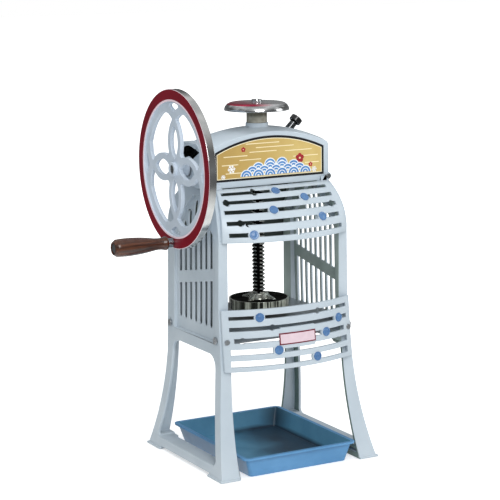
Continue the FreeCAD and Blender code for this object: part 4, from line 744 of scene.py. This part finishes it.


# ---------------------------------------------------------------- hand wheel
# Pressed aluminium wheel on the top of the spindle, held by a cap nut: polished, with crimson lacquer
# on its top that pales towards the right as a painted reflection. The steel collar below is darker
# at its head, just under the wheel.
wheel_top = 690.0
lacquer_radius = 58.0
facing_up = 0.55
sheen_start, sheen_end = -30.0, 8.0
collar_dark_start, collar_dark_end = 666.0, 672.0
wheel_metal = surface("polished_aluminium", tone(214, 215, 216), tone(198, 200, 202), 26, 0.9, 0.006,
                      (0.12, 0.22), Metallic=1.0)
lacquer = surface("crimson_lacquer", tone(206, 60, 92), tone(176, 36, 70), 20, 0.9, 0.006, (0.14, 0.24),
                  Metallic=0.8)
tree = lacquer.node_tree
# painted reflection: the lacquer pales to near white towards the right
painted_reflection = span(tree, split(tree, on_body(tree))["X"], sheen_start * mm, sheen_end * mm)
stain(lacquer, painted_reflection, tone(220, 220, 222))
top_wheel = solid_copy("hand_wheel")
for face in top_wheel.faces:
    spot = face.calc_center_median() / mm
    on_top = face.normal.z > facing_up and spot.z > wheel_top
    face.material_index = int(on_top and math.hypot(spot.x, spot.y) < lacquer_radius)
top_wheel = stand_in(top_wheel, "hand_wheel_finished", "spindle", ["hand_wheel"],
                     [wheel_metal, lacquer], 0.7)
collar_metal = surface("stained_steel", tone(206, 202, 188), tone(168, 162, 146), 12, 0.6, 0.02,
                       (0.30, 0.44), Metallic=0.35)
tree = collar_metal.node_tree
# darker band at the collar's head, just under the wheel
darker_at_head = span(tree, split(tree, on_body(tree))["Z"], collar_dark_start * mm, collar_dark_end * mm, 0.0, 0.7)
stain(collar_metal, darker_at_head, tone(70, 66, 44))
dressed("wheel_collar", "spindle", collar_metal, 0.5)
dressed("cap_nut", "spindle", wheel_metal, 0.3)


# ---------------------------------------------------------------- grilles
# Bowed iron castings with long slots, screwed to the front of the frames; round pads across the slots
# carry the studs. A plain bowed cover closes the rear of the head; its inside carries painted shade.
dressed("upper_front_grille", "frame", enamel, 0.9)
dressed("lower_front_grille", "frame", enamel, 0.9)
facing_front = 0.3
cover = solid_copy("rear_upper_cover")
for face in cover.faces:
    face.material_index = int(face.normal.y < -facing_front)
# painted shade: the cover's inside faces are dark grey-green
cover_inside = surface("cover_inside", tone(70, 80, 76), tone(52, 62, 58), 50, 1.8, 0.05, (0.5, 0.66))
cover = stand_in(cover, "rear_upper_cover_finished", "frame", ["rear_upper_cover"],
                 [enamel, cover_inside], 0.9)
dressed("grille_screws", "frame", zinc, 0.5)
dressed("rear_cover_screws", "frame", zinc, 0.5)


# ---------------------------------------------------------------- studs and nameplate
# Ten blue enamelled studs, pressed into the grilles' round pads and set square to the bowed surface,
# and a small plate with a red border and nothing on it, bent round the lower grille's middle bar.
panel_foot, panel_edge = 320.0, 101.3       # the frames' front edge: height, and how far it stands out
waist, waist_edge = 448.0, 102.5
crown, crown_edge = 541.0, 52.0
shoulder_rise = 13.8                        # of the edge's arc between waist and crown
grille_thickness = 6.3
upper_foot, upper_height = 446.0, 95.0
upper_half, upper_taper = 136.0, 13.5
upper_bow, crown_bow = 38.0, 4.0
upper_taper_power = 2.2
lower_half, lower_bow = 140.75, 32.0
foot_flare, flare_height = 12.2, 120.0      # the edge runs out again below the panel


def shoulder_line(z):
    """How far the frames' front edge stands out at height z, on the arc above the waist."""
    chord = math.hypot(waist_edge - crown_edge, crown - waist)
    radius = (chord * chord / 4 + shoulder_rise * shoulder_rise) / (2 * shoulder_rise)
    aside_y, aside_z = -(crown - waist) / chord, (waist_edge - crown_edge) / chord
    centre_y = -(waist_edge + crown_edge) / 2 - aside_y * (radius - shoulder_rise)
    centre_z = (waist + crown) / 2 - aside_z * (radius - shoulder_rise)
    return math.sqrt(max(radius * radius - (z - centre_z) ** 2, 0)) - centre_y


def grille_face(x, z):
    """Y of the grilles' outer surface, in mm."""
    if z > upper_foot:
        half = upper_half - upper_taper * max((z - waist) / (crown - waist), 0) ** upper_taper_power
        bow = upper_bow + (crown_bow - upper_bow) * (z - upper_foot) / upper_height
        edge = shoulder_line(z) if z > waist else waist_edge
    else:
        half, bow = lower_half, lower_bow
        above = (z - panel_foot) / (waist - panel_foot) * (waist_edge - panel_edge)
        below = (panel_foot - z) / flare_height * foot_flare
        edge = panel_edge + (above if z > panel_foot else below)
    return -(edge + grille_thickness + bow * (1 - (x / half) ** 2))


def grille_normal(x, z):
    """Direction that the grilles' outer surface faces."""
    dx = (grille_face(x + 1, z) - grille_face(x - 1, z)) / 2
    dz = (grille_face(x, z + 1) - grille_face(x, z - 1)) / 2
    return Vector((dx, -1, dz)).normalized()


stud_blue = surface("stud_enamel", tone(90, 130, 178), tone(72, 112, 164), 10, 1.4, 0.02, (0.20, 0.32),
                    Coat_Weight=0.3, Coat_Roughness=0.1)
stud_skin = turned_shape((
    (0, -1.2), (8.0, -1.2), (8.7, -0.6), (8.7, 1.9), (8.3, 2.3), (6.6, 2.45), (6.0, 2.2), (4.6, 2.15),
    (3.8, 2.5), (2.0, 2.75), (0, 2.8)), 36)
stud_mesh = bpy.data.meshes.new("stud_form")
stud_skin.to_mesh(stud_mesh)
stud_skin.free()
stud_form = placed("stud_form", stud_mesh)
stud_sizes = {"Stud size": 1.0}
tool, given, keys = node_tool("set_studs", stud_sizes)
facing = put(tool, "GeometryNodeInputNamedAttribute", {"Name": "facing"}, data_type="FLOAT_VECTOR")
square = put(tool, "FunctionNodeAlignRotationToVector", {"Vector": facing.outputs[0]}, axis="Z")
form = put(tool, "GeometryNodeObjectInfo", {"Object": stud_form})
places = put(tool, "GeometryNodeMeshToPoints", {"Mesh": given["Geometry"]})
set_in = put(tool, "GeometryNodeInstanceOnPoints",
             {"Points": places.outputs[0], "Instance": form.outputs["Geometry"],
              "Rotation": square.outputs[0], "Scale": given["Stud size"]})
close_tool(tool, set_in.outputs[0], stud_blue)
pads = ((-72, 302.5), (106, 281.5), (71, 259.5), (-38, 238), (46, 216), (-4, 532), (50, 518),
        (-28, 501.5), (74, 482), (-80, 460.5))
spots = bmesh.new()
way = spots.verts.layers.float_vector.new("facing")
for x, z in pads:
    at = spots.verts.new(Vector((x, grille_face(x, z), z)) * mm)
    at[way] = grille_normal(x, z)
grown(spots, "grille_studs", "frame", [], tool, keys, stud_sizes)
bpy.data.objects.remove(stud_form)

sign_x, sign_z = 4.0, 258.0
sign_half_x, sign_half_z = 40.0, 11.2
sign_back, sign_front = -0.3, 1.1           # off the grille's face
border_width = 2.3
columns = 24
bordered, tree, shader = blank("bordered_plate")
where = on_body(tree)
place = split(tree, where)
from_edges = []
for axis, centre, half in (("X", sign_x, sign_half_x), ("Z", sign_z, sign_half_z)):
    off_centre = reckoned(tree, "ABSOLUTE", reckoned(tree, "SUBTRACT", place[axis], centre * mm))
    from_edges.append(reckoned(tree, "SUBTRACT", half * mm, off_centre))
edge = reckoned(tree, "LESS_THAN", reckoned(tree, "MINIMUM", *from_edges), border_width * mm)
cloud = clouds(tree, where, 120.0, 3.0)
field = blend(tree, cloud, tone(236, 214, 222), tone(220, 196, 206))
tree.links.new(blend(tree, edge, field, tone(116, 12, 38)), shader.inputs["Base Color"])
coat(tree, shader, cloud, (0.30, 0.44), cloud, 0.02)
sign = bmesh.new()
sheets = []
for lift_off in (sign_back, sign_front):
    sheet = []
    for i in range(columns + 1):
        x = sign_x - sign_half_x + 2 * sign_half_x * i / columns
        sheet.append([sign.verts.new((x * mm, (grille_face(x, z) - lift_off) * mm, z * mm))
                      for z in (sign_z - sign_half_z, sign_z + sign_half_z)])
    sheets.append(sheet)
back, front = sheets
for i in range(columns):
    for sheet in sheets:
        sign.faces.new((sheet[i][0], sheet[i + 1][0], sheet[i + 1][1], sheet[i][1]))
    for end in (0, 1):
        sign.faces.new((back[i][end], back[i + 1][end], front[i + 1][end], front[i][end]))
for i in (0, columns):
    sign.faces.new((back[i][0], back[i][1], front[i][1], front[i][0]))
bmesh.ops.recalc_face_normals(sign, faces=sign.faces)
stand_in(sign, "plain_name_plate", "frame", [], [bordered], 0.3)


# ---------------------------------------------------------------- blade table
# Machined iron table between the frames, with the blade let into its underside on two guide pins
# and an adjusting screw below.
table_metal = surface("machined_table", tone(170, 174, 178), tone(150, 154, 158), 40, 0.9, 0.012,
                      (0.26, 0.40), Metallic=0.9)
dressed("blade_table", "frame", table_metal, 0.8)
dressed("table_bolts", "frame", zinc, 0.6)
dressed("blade_guides", "frame", turned)
dressed("adjuster_bridge", "frame", gear_iron, 0.6)
dressed("blade_holder", "blade_unit", gear_iron, 0.5)
blade_metal = surface("ground_blade", tone(214, 218, 222), tone(196, 200, 206), 18, 0.5, 0.006,
                      (0.10, 0.20), Metallic=1.0)
dressed("blade", "blade_unit", blade_metal)
dressed("adjuster_screw", "adjuster", zinc, 0.4)


# ---------------------------------------------------------------- drip tray
# Moulded blue plastic tray that slides out between the legs; the rim turns out and down. Its inside is
# the outside's blue darkened as painted shade, and more painted shade darkens the right half of its
# floor and gathers deepest in the rear corner there.
rim_level = 38.0
tray_middle = Vector((0, -9, 60))
shade_corner = (116, 139, 10)
shade_reach = (10.0, 50.0)                   # from that corner
shade_start, shade_end = 20.0, 110.0          # across the floor, with an edge that wanders
shade_wander = 120.0
shade_foot, shade_top = 4.0, 12.0
shade_depth, corner_shade_depth = 0.86, 0.8
corner_shade_squash = (1, 0.7, 0.6)
# painted shade: the inside is a darker copy of the outer face's blue
tray_inside_shaded = surface("tray_moulding", tone(94, 152, 184), tone(82, 140, 174), 60, 1.8, 0.02,
                    (0.30, 0.42), Specular_IOR_Level=0.45)
tray_outside = surface("tray_outer_face", tone(98, 156, 204), tone(88, 146, 194), 60, 1.8, 0.02,
                       (0.28, 0.40), Specular_IOR_Level=0.5)
tree = tray_inside_shaded.node_tree
where = on_body(tree)
place = split(tree, where)
# painted shade over the floor's right half, deepest in the rear corner
ragged = reckoned(tree, "MULTIPLY_ADD", clouds(tree, where, 11.0, 3.0), shade_wander * mm, place["X"])
floor_shade = span(tree, ragged, shade_start * mm, shade_end * mm, 0.0, shade_depth)
on_floor = span(tree, place["Z"], shade_foot * mm, shade_top * mm, 1.0, 0.0)
floor_shade = reckoned(tree, "MULTIPLY", floor_shade, on_floor)
from_corner = put(tree, "ShaderNodeVectorMath", {0: where, 1: [value * mm for value in shade_corner]},
                  operation="SUBTRACT")
squashed = put(tree, "ShaderNodeVectorMath", {0: from_corner.outputs[0], 1: corner_shade_squash},
               operation="MULTIPLY")
away = length_of(tree, squashed.outputs[0])
corner_shade = span(tree, away, shade_reach[0] * mm, shade_reach[1] * mm, corner_shade_depth, 0.0)
stain(tray_inside_shaded, reckoned(tree, "MAXIMUM", floor_shade, corner_shade), tone(26, 30, 46))
tray = solid_copy("drip_tray")
bmesh.ops.recalc_face_normals(tray, faces=tray.faces)
for face in tray.faces:
    spot = face.calc_center_median() / mm
    outward = face.normal.dot(tray_middle - spot) < 0
    on_rim = face.normal.z > square_on and spot.z > rim_level
    face.material_index = int(outward or on_rim)
tray = stand_in(tray, "drip_tray_finished", "tray", ["drip_tray"], [tray_inside_shaded, tray_outside], 0.5)
